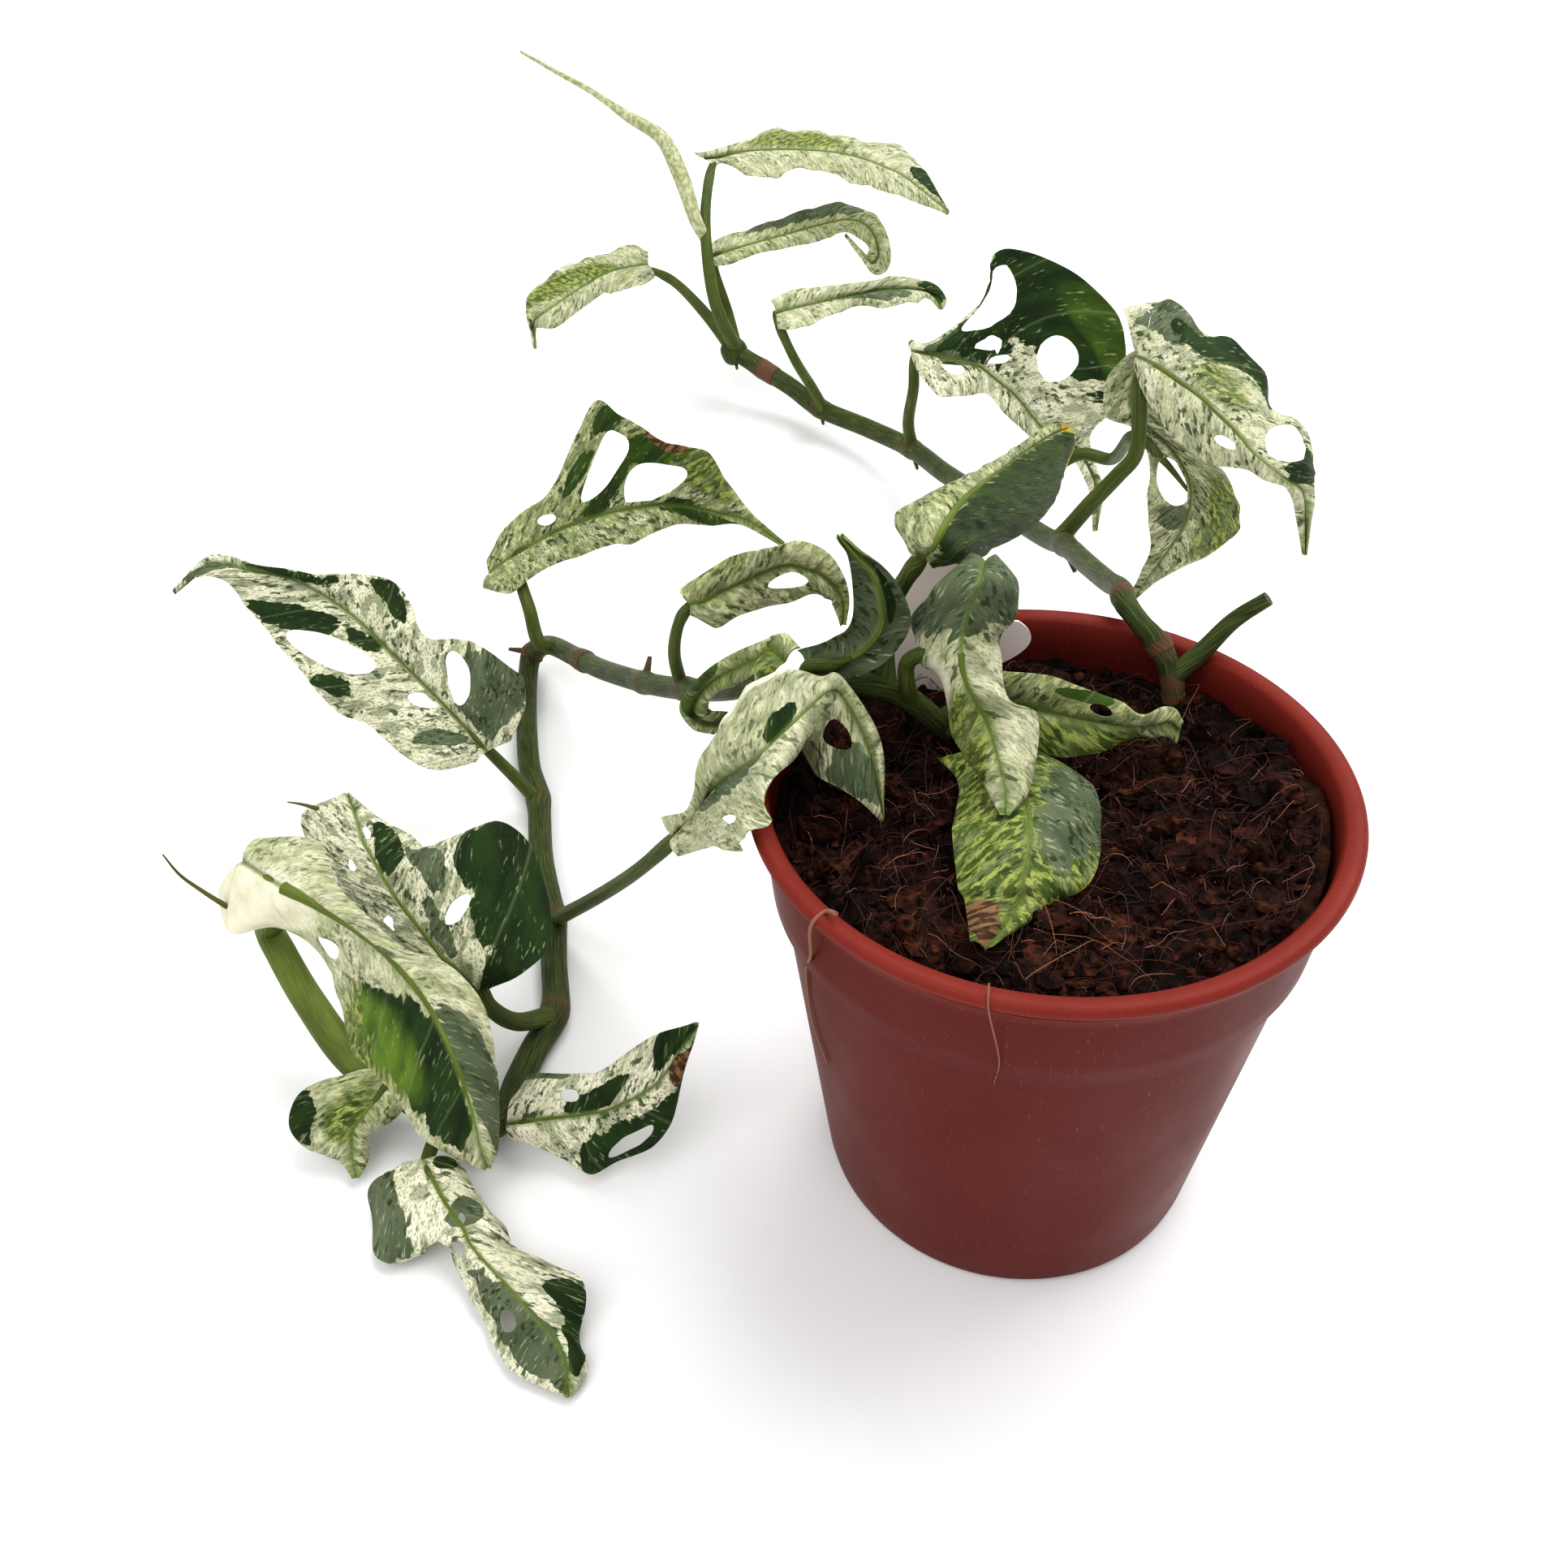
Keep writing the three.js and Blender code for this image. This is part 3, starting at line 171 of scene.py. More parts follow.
# Tag: thickness, half width and height, place and lean, and its outline as parts of the half width and of
# the height. A row of three places is a bend.
TAG_THICKNESS = 0.8
TAG_SIZE = (15, 41)
TAG_PLACE = (-14, 42, 96)
TAG_LEAN = 0.12
TAG_OUTLINE = [
    [(-0.7, 0), (-1, 0.35)],
    [(-1, 0.35), (-1, 1), (-0.2, 1)],
    [(-0.2, 1), (0.5, 0.95), (0.6, 0.62)],
    [(0.9, 0.62), (1.45, 0.5), (0.9, 0.38)],
    [(0.5, 0.3), (0.4, 0)],
]

# Leaf blades: bulge and edge wave of each half, how finely a blade is divided, and the slant and spacing of
# its side veins.
BLADE_THICKNESS = 0.5
LEAST_HALF_WIDTH = 0.7
CROWN = 1.2
EDGE_WAVE = 1
WAVES_PER_EDGE = 3
WIDE_STRETCH = (0.06, 0.92)
SLOPE_STEP = 0.02
NEAR_RIB = 0.25
HOLE_STRETCH = (0.03, 0.97)
RIB_CLEAR = 0.08
EDGE_CLEAR = 0.88
ROWS = 84
STRIPS = 44
VEIN_SLANT = 0.75
VEIN_SPACING = 8.5

# Relief of a blade, as heights: between the veins, crinkles, the two waves of the edge, and the channel
# along the rib with its width.
PUCKER = 0.34
CRINKLE = 0.42
RUFFLES = (0.9, 0.4)
CHANNEL = (0.5, 1.1)
PATCH_EDGE = (0.7, 1.35)

# Stalks: the usual joint, the steps under the blade, how deep they lie there, the part that is free, and
# the radius where a stalk and a midrib run out.
STALK_JOINT = (0.02, 0)
STALK_UNDER = (0, 0.1, 0.2)
STALK_SUNK = (0.95, 0.7, 0.35)
STALK_FREE_PART = 0.75
STALK_END = 0.5
RIB_END = 0.25

# Leaves. Each blade runs along its rib with an edge on each side, and all three end in its tip. joint is
# where the stalk meets it, thick is the stalk's radius at both ends and tint its green. A hole, and a patch
# of one of the marking colours, is an oval: its place and its two half axes, as along and across. ground is
# how green and how flecked the cream is, ruffle is how wavy the edge is.
MARK_KINDS = ("dark", "grey", "green", "pale", "yellow", "brown")
LEAVES = {
    # Big leaf at the front left: pale domed base, tip hanging towards the viewer.
    "leaf_front_dome": dict(
        joint=(0.05, 0.08), thick=(4.4, 3.4), tint=0.7, ground=(0.3, 0.5), ruffle=0.5,
        stalk=[[-154, 9, 12], [-166, 17, 15], [-177, 29, 23], [-184, 38, 32], [-187, 43, 37]],
        left=[[-182, 44, 66], [-166, 40, 68], [-159, 27, 66], [-151, 20, 62], [-142, 14, 56],
            [-134, 15, 50], [-127, 9, 42], [-124, -1, 32], [-123, -9, 25], [-124, -15, 18]],
        rib=[[-185, 39, 64], [-171, 26, 67], [-164, 23, 64], [-156, 19, 61], [-148, 14, 57], [-141, 8, 52],
            [-136, 3, 46], [-131, -5, 37], [-128, -12, 28], [-127, -16, 20]],
        right=[[-192, 37, 56], [-189, 30, 50], [-179, 32, 48], [-166, 23, 45], [-162, 18, 38],
            [-161, 12, 30], [-158, 6, 27], [-146, -4, 24], [-141, -11, 19], [-133, -14, 14]],
        tip=[[-126, -17, 14]], holes=[(0.3, 0.57, 0.03, 0.08, -0.01, 0.14)],
        dark=[(0.66, 0.42, 0.2, -0.02, -0.01, 0.42)], grey=[(0.75, -0.55, 0.15, -0.42, 0.01, 0.48)],
        green=[(0.56, 0.7, 0.15, 0, -0.01, 0.4)], pale=[(0.1, 0.49, 0.1, -0.42, 0.08, 0.48)]),
    # Behind it: a speckled blade with one large dark lobe standing up at its base.
    "leaf_front_round": dict(
        thick=(2.8, 2), ground=(0.08, 0.9), ruffle=0.4,
        stalk=[[-117, 36, 5], [-124, 25, 16], [-129, 22, 26]],
        left=[[-137, 24, 30], [-146, 29, 32], [-154, 37, 32], [-165, 48, 30], [-171, 55, 30],
            [-175, 62, 30], [-178, 69, 32], [-186, 78, 34], [-188, 88, 36]],
        rib=[[-132, 23, 33], [-136, 26, 36], [-140, 29, 38], [-149, 40, 41], [-153, 45, 42], [-158, 53, 42],
            [-162, 60, 42], [-167, 69, 42], [-171, 79, 42]],
        right=[[-128, 22, 33], [-118, 21, 40], [-112, 27, 46], [-116, 47, 54], [-127, 58, 56],
            [-140, 60, 50], [-147, 60, 44], [-155, 70, 42], [-165, 78, 42]],
        tip=[[-175, 88, 42]],
        holes=[(0.3, 0.33, 0.02, 0.12, -0.01, 0.06), (0.8, 0.14, -0.03, 0.02, -0.01, -0.1),
            (0.66, -0.41, -0.03, 0, -0.01, -0.1), (0.33, -0.37, -0.03, -0.04, -0.01, -0.1)],
        dark=[(0.2, 0.85, 0.3, 0, 0, 0.42), (0.7, 0.37, -0.14, -0.22, -0.01, -0.28)],
        grey=[(0.29, 0.14, -0.08, -0.02, 0, -0.06), (0.55, 0.52, -0.17, -0.2, -0.02, -0.16)]),
    # Long leaf to the far left, brown at its tip.
    "leaf_far_left": dict(
        thick=(2.2, 1.6), ground=(0.06, 0.85), ruffle=1.3,
        stalk=[[-131, 124, 5], [-137, 124, 16]],
        left=[[-146, 120, 26], [-158, 117, 26], [-168, 122, 28], [-180, 133, 32], [-190, 136, 36],
            [-205, 151, 46], [-219, 165, 55], [-228, 173, 62], [-238, 175, 62]],
        rib=[[-143, 122, 28], [-149, 128, 32], [-156, 134, 37], [-164, 141, 42], [-172, 148, 47],
            [-187, 160, 56], [-204, 169, 63], [-218, 172, 65], [-233, 179, 64]],
        right=[[-136, 122, 31], [-130, 126, 42], [-132, 129, 52], [-148, 146, 52], [-162, 147, 54],
            [-173, 165, 63], [-199, 168, 66], [-217, 174, 66], [-234, 184, 64]],
        tip=[[-246, 175, 57]],
        holes=[(0.52, -0.54, -0.07, 0.26, -0.01, -0.18), (0.28, -0.17, -0.04, 0.12, -0.01, -0.1),
            (0.27, 0.44, -0.07, -0.26, 0.01, -0.14)],
        dark=[(0.61, -0.58, -0.07, 0.36, -0.01, -0.2), (0.71, 0.48, -0.09, 0.16, -0.01, -0.48),
            (0.53, 0.79, -0.04, -0.08, 0, -0.18), (0.48, -0.8, -0.03, 0.16, -0.01, -0.08),
            (0.5, -0.13, -0.03, 0.1, -0.01, -0.08)],
        grey=[(0.18, 0.64, -0.04, 0.38, -0.12, -0.34), (0.16, -0.45, -0.07, 0.28, -0.02, -0.1),
            (0.89, -0.47, -0.06, 0.38, -0.04, -0.48)], brown=[(0.99, -0.78, -0.01, 0.4, 0.01, -0.04)]),
    # Leaf over the bend of the front vine, its upper half stood up and torn by holes.
    "leaf_arched": dict(
        joint=(0.11, 0.08), thick=(2.6, 1.8), ground=(0.5, 0.85), ruffle=1.4,
        stalk=[[-129, 187, 21], [-134, 183, 26], [-136, 187, 36]],
        left=[[-150, 201, 48], [-145, 207, 54], [-136, 212, 60], [-126, 213, 68], [-111, 227, 90],
            [-100, 221, 88], [-88, 217, 80], [-74, 221, 74], [-68, 222, 62], [-60, 224, 48]],
        rib=[[-149, 194, 47], [-141, 200, 50], [-133, 203, 53], [-124, 206, 56], [-108, 208, 60],
            [-100, 210, 60], [-92, 214, 59], [-82, 218, 56], [-71, 219, 52], [-61, 222, 47]],
        right=[[-151, 191, 44], [-142, 187, 44], [-136, 191, 46], [-127, 197, 48], [-108, 199, 54],
            [-100, 201, 53], [-93, 207, 53], [-84, 214, 52], [-73, 217, 49], [-63, 223, 46]],
        tip=[[-49, 220, 38]],
        holes=[(0.43, -0.5, 0.07, -0.3, 0.04, 0.06), (0.57, -0.34, 0.09, -0.3, 0.04, 0.18),
            (0.26, -0.39, 0.03, 0.02, 0.01, 0.16)],
        dark=[(0.44, -0.37, 0.08, -0.38, 0.04, 0.04), (0.57, -0.76, 0.06, -0.12, 0, 0.24),
            (0.77, 0.48, 0.15, 0.46, 0.01, 0.42), (0.35, -0.6, 0.03, -0.1, 0.01, 0.14),
            (0.45, -0.87, 0.05, -0.06, -0.01, 0.16)], green=[(0.72, -0.72, 0.09, 0.1, -0.02, 0.34)],
        brown=[(0.61, -0.98, 0.06, 0.04, -0.01, 0.08)]),
    # Small leaf on a bowed stalk, halfway along.
    "leaf_small_curved": dict(
        thick=(1.9, 1.4), ground=(0.52, 0.6), ruffle=1.3,
        stalk=[[-78, 86, 75], [-79, 84, 88], [-77, 85, 97]],
        left=[[-76, 88, 104], [-72, 88, 107], [-63, 89, 112], [-53, 92, 113], [-45, 97, 111],
            [-38, 98, 106], [-34, 96, 97]],
        rib=[[-74, 85, 102], [-70, 85, 103], [-64, 87, 105], [-51, 93, 107], [-45, 95, 105], [-39, 96, 101],
            [-35, 95, 95]],
        right=[[-73, 87, 98], [-68, 83, 97], [-62, 85, 99], [-50, 91, 98], [-44, 94, 99], [-39, 94, 97],
            [-37, 96, 94]],
        tip=[[-35, 94, 88]], holes=[(0.48, 0.39, 0.1, 0.04, 0, 0.22)],
        dark=[(0.71, 0.9, 0.2, 0.2, -0.02, 0)], brown=[(0.99, -0.81, 0.03, 0, 0.03, -0.38)]),
    # Small dark leaf that curls up in an S at the pot rim.
    "leaf_s_curl": dict(
        joint=(0.02, -0.24), thick=(1.8, 1.4), ground=(0.3, 0.7), ruffle=0.4,
        stalk=[[-46, 24, 121], [-47, 23, 123]],
        left=[[-46, 20, 126], [-36, 18, 128], [-27, 20, 135], [-29, 19, 147], [-36, 17, 156]],
        rib=[[-47, 23, 127], [-38, 20, 130], [-32, 19, 138], [-33, 18, 149], [-37, 17, 156]],
        right=[[-48, 27, 127], [-41, 22, 133], [-37, 19, 140], [-37, 18, 149], [-38, 17, 156]],
        tip=[[-40, 17, 160]], dark=[(0.6, -0.35, 0.18, 0, 0, 0.2)], grey=[(0.5, 0, 0.7, 0, 0, 1.3)]),
    # Leaf with a rolled dark lobe above and a pale crumpled blade hanging below.
    "leaf_rolled_lobe": dict(
        joint=(0.38, 0.72), thick=(1.9, 1.5), ground=(0.28, 0.6), ruffle=0.6,
        stalk=[[-24, 25, 114], [-26, 22, 121], [-26, 21, 128]],
        left=[[-9, 27, 147], [-6, 21, 146], [-6, 20, 140], [-9, 18, 136], [-9, 13, 133], [-9, 8, 128],
            [-2, 8, 122], [-5, -4, 115]],
        rib=[[-11, 26, 148], [-14, 14, 151], [-16, 13, 145], [-17, 12, 139], [-17, 9, 134], [-15, 7, 129],
            [-12, 4, 124], [-10, -5, 117]],
        right=[[-14, 28, 147], [-21, 19, 146], [-25, 26, 134], [-23, 20, 130], [-20, 16, 129],
            [-19, 11, 124], [-17, 8, 119], [-13, 0, 114]],
        tip=[[-10, -10, 113]], grey=[(0.1, 0, 0.24, 0, 0, 1.4)],
        green=[(0.74, 0.5, 0.04, -0.48, 0.14, 0.44)], pale=[(0.53, 0.75, 0.01, -0.32, 0.1, 0.18)],
        brown=[(0.4, -0.97, 0, -0.06, 0.03, 0)]),
    # Old leaf bowed over the soil, its end dried brown.
    "leaf_on_soil": dict(
        thick=(1.8, 1.4), ground=(1, 0.8), ruffle=0.5,
        stalk=[[-18, 27, 106], [-12, 22, 107]],
        left=[[1, 17, 106], [8, 9, 106], [10, -6, 105], [4, -21, 105], [-4, -27, 105], [-16, -36, 105]],
        rib=[[-6, 14, 108], [-5, 4, 111], [-6, -14, 113], [-9, -25, 110], [-10, -28, 107], [-17, -37, 105]],
        right=[[-19, 16, 106], [-16, 7, 107], [-19, -10, 108], [-20, -23, 108], [-19, -27, 107],
            [-19, -35, 105]],
        grey=[(0.36, -0.61, 0, -0.48, 0.18, 0.14)], green=[(0.51, 0.46, 0.01, -0.48, 0.24, 0)],
        yellow=[(0.62, -0.99, -0.07, 0, 0.01, -0.02)], brown=[(0.9, 0.55, 0.01, -0.48, 0.1, -0.14)]),
    # Narrow crumpled leaf reaching over the soil to the right.
    "leaf_over_soil": dict(
        thick=(1.8, 1.4), ground=(0.55, 0.6), ruffle=2,
        stalk=[[-19, 26, 108], [-14, 26, 112]],
        left=[[-6, 26, 120], [5, 23, 120], [16, 17, 118], [22, 14, 117], [28, 15, 117], [30, 14, 114]],
        rib=[[-8, 24, 115], [4, 20, 114], [16, 16, 113], [22, 16, 113], [27, 15, 114], [30, 15, 112]],
        right=[[-6, 22, 110], [5, 15, 107], [19, 17, 108], [24, 18, 109], [28, 16, 110], [30, 15, 109]],
        holes=[(0.36, -0.55, 0.04, 0.02, -0.01, 0.2)], dark=[(0.32, -0.82, 0.1, -0.14, 0, 0.18)],
        green=[(0.3, 0.68, 0.28, -0.12, -0.01, 0.48)]),
    # Leaf folded like a roof along its rib, dark on the near side.
    "leaf_roof": dict(
        thick=(2.2, 1.7), ground=(0.52, 0.75), ruffle=0.05,
        stalk=[[-30, 25, 118], [-30, 30, 127], [-28, 31, 137]],
        left=[[-26, 26, 152], [-28, 29, 155], [-26, 36, 155], [-18, 43, 153], [0, 70, 147], [14, 93, 141]],
        rib=[[-23, 24, 150], [-21, 21, 156], [-18, 26, 158], [-13, 36, 157], [0, 61, 151], [13, 87, 143]],
        right=[[-21, 29, 146], [-15, 35, 142], [-8, 47, 137], [0, 58, 133], [14, 82, 130], [21, 98, 133]],
        tip=[[20, 100, 138]], dark=[(0.5, 0.62, 0.6, 0, 0, 0.62)],
        yellow=[(0.97, 0, 0.05, 0, 0, 1), (0.9, 0.97, 0.16, 0, 0, 0.08)]),
    # Long wavy leaf from outside the pot, bent over the rim and down inside it.
    "leaf_over_rim": dict(
        thick=(2.2, 1.7), ground=(0.3, 0.5), ruffle=1.5,
        stalk=[[-121, 71, 5], [-104, 55, 30], [-89, 37, 57]],
        left=[[-80, 25, 84], [-73, 17, 94], [-70, 17, 107], [-65, 18, 115], [-60, 24, 119], [-50, 20, 127],
            [-44, 14, 130], [-40, 12, 130], [-33, 6, 119]],
        rib=[[-78, 24, 80], [-72, 22, 90], [-66, 16, 102], [-60, 7, 114], [-55, 4, 121], [-47, 8, 127],
            [-43, 9, 130], [-40, 10, 128], [-35, 5, 118]],
        right=[[-77, 19, 79], [-68, 6, 94], [-62, -15, 112], [-58, -18, 121], [-56, -11, 123],
            [-49, 6, 120], [-48, 9, 116], [-46, 8, 112], [-38, -1, 112]],
        tip=[[-33, -4, 108]],
        holes=[(0.8, 0.38, 0.04, 0.02, -0.02, 0.18), (0.74, 0.88, 0.07, -0.1, -0.01, 0.14),
            (0.25, 0.65, 0.03, 0.1, -0.01, 0.04)], dark=[(0.49, -0.14, 0.04, -0.08, 0.01, 0.12)],
        grey=[(0.89, 0.52, 0.07, 0.04, -0.03, 0.48), (0.28, 0.15, 0.14, -0.08, 0.03, 0.14)],
        pale=[(0.46, -0.96, 0.1, 0, 0, 0.08)]),
    # Narrow leaf behind it, bent round in a loop.
    "leaf_looped": dict(
        joint=(0.11, -0.4), thick=(1.7, 1.3), ground=(0.6, 0.6),
        stalk=[[-57, 41, 110], [-57, 36, 112]],
        left=[[-54, 32, 117], [-57, 33, 116], [-58, 38, 114], [-65, 46, 105], [-70, 52, 96], [-68, 53, 92],
            [-64, 55, 90]],
        rib=[[-51, 34, 120], [-54, 37, 121], [-57, 38, 118], [-67, 46, 107], [-73, 52, 95], [-71, 53, 90],
            [-66, 54, 88]],
        right=[[-48, 35, 122], [-51, 40, 122], [-56, 40, 121], [-69, 47, 108], [-75, 51, 96], [-73, 52, 89],
            [-68, 52, 87]],
        dark=[(0.6, 0.52, -0.04, -0.48, 0.15, -0.48)], grey=[(0.93, -0.58, 0.12, -0.4, 0.01, 0.44)],
        green=[(0.13, -0.32, -0.18, 0.08, -0.08, -0.48)]),
    # Little crumpled leaf under the big front one.
    "leaf_little_front": dict(
        joint=(0.06, -0.16), thick=(1.8, 1.4), ground=(0.4, 0.6), ruffle=1.4,
        stalk=[[-151, 8, 11]],
        left=[[-150, 8, 17], [-150, 1, 14], [-155, 0, 10], [-160, -3, 8], [-159, -6, 5]],
        rib=[[-152, 9, 18], [-157, -1, 17], [-161, -4, 13], [-162, -5, 9], [-162, -8, 6]],
        right=[[-160, 9, 19], [-174, 4, 18], [-176, -1, 13], [-172, -6, 8], [-166, -5, 5]],
        tip=[[-161, -11, 3]], dark=[(0.37, 0.87, -0.01, -0.26, 0.18, 0)],
        green=[(0.32, 0.21, -0.09, -0.22, 0.23, -0.12)]),
    # Leaf lying along the table towards the viewer.
    "leaf_on_table": dict(
        thick=(2, 1.5), ground=(0.04, 0.75), ruffle=1.3,
        stalk=[[-141, 2, 8], [-141, -6, 11]],
        left=[[-135, -13, 12], [-132, -17, 11], [-129, -22, 10], [-126, -26, 9], [-122, -29, 8],
            [-118, -36, 8], [-103, -44, 8], [-103, -55, 4], [-101, -61, 3]],
        rib=[[-142, -14, 14], [-139, -19, 13], [-136, -24, 13], [-133, -28, 12], [-130, -32, 12],
            [-127, -37, 12], [-118, -46, 10], [-108, -56, 7], [-105, -61, 5]],
        right=[[-147, -14, 12], [-154, -17, 9], [-155, -22, 5], [-151, -32, 3], [-142, -32, 4],
            [-137, -32, 8], [-128, -42, 4], [-120, -56, 3], [-115, -62, 3]],
        tip=[[-104, -67, 2]],
        holes=[(0.73, 0.49, 0.02, 0.02, 0.01, 0.2), (0.37, -0.13, 0.04, 0.04, 0.01, 0.1),
            (0.56, 0.36, 0.03, 0.08, 0.01, 0.2), (0.64, 0.46, 0.01, 0.06, 0.01, 0.14)],
        dark=[(0.7, -0.74, 0.04, -0.22, 0.02, 0.22), (0.82, -0.62, 0.1, 0.22, 0, 0.38),
            (0.04, -0.53, 0.01, -0.34, 0.04, 0.12)],
        grey=[(0.23, 0.82, 0.02, -0.34, 0.17, 0.02), (0.8, 0.31, 0.18, -0.06, 0.01, 0.48),
            (0.34, -0.33, 0.02, -0.36, 0.09, 0.22)]),
    # Leaf held just above the table, to the right of the vine tip.
    "leaf_low_right": dict(
        thick=(2, 1.5), ground=(0.03, 0.75), ruffle=1.3,
        stalk=[[-125, 8, 6]],
        left=[[-122, 5, 12], [-118, 7, 16], [-105, 2, 22], [-100, 1, 24], [-87, 6, 30], [-79, 8, 31]],
        rib=[[-124, -3, 11], [-118, -3, 12], [-104, -4, 15], [-97, -4, 17], [-86, -2, 23], [-79, 5, 29]],
        right=[[-123, -6, 10], [-118, -7, 9], [-106, -11, 5], [-101, -13, 5], [-86, -6, 10], [-78, 4, 27]],
        tip=[[-76, 10, 30]],
        holes=[(0.58, 0.7, 0.06, -0.08, 0.01, 0.16), (0.3, -0.5, 0.03, -0.06, 0.01, 0.14)],
        dark=[(0.55, 0.75, 0.21, -0.02, 0.05, 0.48), (0.42, -0.36, 0.15, -0.16, 0.01, 0.28),
            (0.82, -0.66, 0.15, -0.2, 0.03, 0.48)], grey=[(0.2, -0.96, 0.1, 0, 0.01, 0.08)],
        brown=[(0.79, 0.43, 0.07, 0.22, 0.01, 0.4)]),
    # Narrow boat-shaped leaf near the end of the back vine.
    "leaf_back_small": dict(
        thick=(2.5, 1.9), ground=(0.3, 0.5), ruffle=1.5,
        stalk=[[-26, 379, 12], [-32, 374, 26], [-40, 371, 42]],
        left=[[-49, 383, 62], [-43, 391, 62], [-32, 397, 62], [-6, 401, 62], [7, 406, 62], [24, 407, 58],
            [30, 404, 52]],
        rib=[[-47, 383, 57], [-42, 386, 57], [-32, 391, 57], [-9, 399, 58], [4, 403, 58], [17, 406, 56],
            [25, 406, 53]],
        right=[[-46, 377, 53], [-41, 374, 54], [-30, 379, 54], [-10, 395, 55], [4, 393, 54], [17, 398, 54],
            [23, 405, 52]],
        tip=[[28, 399, 49]], dark=[(0.81, -0.52, 0.05, -0.48, 0.12, 0.48)],
        grey=[(0.53, 0.31, 0.18, 0.16, 0, 0.38)]),
    # Leaf turned to the left at the end of the back vine.
    "leaf_back_left": dict(
        thick=(3.2, 2), ground=(0.35, 0.5), ruffle=1.6,
        stalk=[[-67, 418, 26], [-80, 430, 40], [-94, 444, 50]],
        left=[[-103, 442, 54], [-111, 433, 53], [-123, 432, 52], [-130, 430, 50], [-148, 408, 46],
            [-158, 411, 44]],
        rib=[[-106, 449, 57], [-113, 448, 57], [-123, 443, 57], [-133, 433, 56], [-151, 414, 51],
            [-158, 412, 46]],
        right=[[-106, 456, 60], [-114, 460, 62], [-126, 454, 61], [-138, 448, 60], [-158, 425, 56],
            [-161, 414, 50]],
        tip=[[-158, 403, 38]], dark=[(0.94, 0.34, 0, -0.48, 0.07, -0.12)],
        green=[(0.59, 0.48, -0.26, -0.4, 0, -0.32)]),
    # Narrow leaf whose end hooks down and back.
    "leaf_back_hooked": dict(
        thick=(2.6, 1.9), ground=(0.4, 0.5), ruffle=1.5,
        stalk=[[-65, 417, 25], [-69, 434, 38]],
        left=[[-77, 439, 67], [-70, 445, 69], [-57, 457, 69], [-22, 479, 70], [-4, 483, 68], [6, 472, 65],
            [9, 447, 55], [1, 443, 51]],
        rib=[[-76, 435, 64], [-67, 440, 65], [-55, 446, 66], [-23, 467, 66], [-8, 475, 65], [1, 466, 63],
            [4, 453, 56], [-1, 452, 52]],
        right=[[-74, 434, 61], [-66, 433, 62], [-53, 442, 63], [-23, 460, 62], [-13, 466, 62],
            [-2, 461, 60], [0, 456, 57], [-2, 458, 54]],
        tip=[[-11, 469, 60]], dark=[(0.78, 0.04, -0.13, 0, 0.13, 0.08)],
        grey=[(0.38, -0.73, 0.15, 0.06, 0.01, 0.48)]),
    # Highest leaf, on the longest stalk.
    "leaf_back_top": dict(
        joint=(0.08, 0.24), thick=(3.2, 2.1), ground=(0.3, 0.45), ruffle=1.6,
        stalk=[[-65, 417, 25], [-74, 410, 52], [-77, 427, 74], [-76, 448, 88]],
        left=[[-81, 476, 98], [-72, 476, 99], [-58, 486, 100], [-45, 494, 101], [-29, 494, 101],
            [-16, 489, 101], [-3, 478, 99], [14, 477, 97], [24, 462, 92]],
        rib=[[-77, 475, 96], [-70, 476, 96], [-58, 480, 97], [-45, 478, 98], [-32, 476, 98], [-18, 474, 97],
            [-5, 467, 96], [7, 461, 93], [17, 451, 90]],
        right=[[-74, 470, 94], [-68, 475, 94], [-57, 464, 92], [-45, 462, 91], [-35, 466, 92],
            [-21, 464, 92], [-8, 453, 90], [2, 450, 87], [13, 442, 86]],
        tip=[[34, 433, 80]], dark=[(0.94, -0.68, 0.06, -0.16, -0.01, 0.48)],
        green=[(0.42, -0.43, 0.19, 0, 0.01, 0.34)]),
    # Broad leaf with its dark half stood up and over, torn by five holes.
    "leaf_back_dark": dict(
        thick=(2.6, 2), ground=(0.06, 0.7),
        stalk=[[8, 324, 20], [6, 322, 33], [7, 316, 50]],
        left=[[6, 326, 66], [13, 318, 68], [27, 322, 76], [37, 321, 90], [39, 325, 100], [50, 309, 104],
            [63, 289, 102], [75, 270, 94], [76, 261, 84], [72, 256, 68], [66, 259, 54], [71, 251, 38]],
        rib=[[6, 321, 64], [14, 316, 64], [23, 310, 64], [31, 303, 64], [37, 294, 62], [43, 287, 59],
            [47, 278, 56], [51, 271, 53], [55, 266, 51], [61, 264, 49], [65, 260, 47], [69, 250, 38]],
        right=[[7, 317, 61], [9, 306, 60], [15, 294, 58], [25, 293, 58], [33, 293, 58], [39, 283, 54],
            [44, 275, 52], [48, 269, 50], [51, 264, 49], [56, 262, 48], [62, 259, 46], [67, 249, 38]],
        tip=[[69, 243, 24]],
        holes=[(0.52, -0.45, 0.04, 0.06, -0.03, 0.16), (0.28, -0.7, 0.09, -0.16, 0.07, 0.24),
            (0.29, -0.27, 0.07, -0.04, 0.01, 0.06), (0.34, -0.17, 0.06, -0.08, 0.01, 0.02),
            (0.17, 0.26, 0.04, 0.02, 0, 0.18)],
        dark=[(0.47, -0.79, 0.22, 0, -0.03, 0.42), (0.27, -0.53, 0.13, -0.32, 0.08, 0.34)],
        grey=[(0.17, -0.36, 0.1, -0.16, 0.03, 0.48)], green=[(0.61, -0.89, 0.04, -0.2, 0.14, 0.02)]),
    # Broad spread leaf with a long drip tip.
    "leaf_back_fan": dict(
        joint=(0.03, 0.72), thick=(2.6, 2), ground=(0.2, 0.65), ruffle=1.3,
        stalk=[[33, 151, 76], [40, 147, 90], [47, 147, 99], [51, 146, 106], [52, 150, 114]],
        left=[[50, 175, 136], [59, 175, 138], [64, 171, 138], [69, 163, 134], [79, 164, 130],
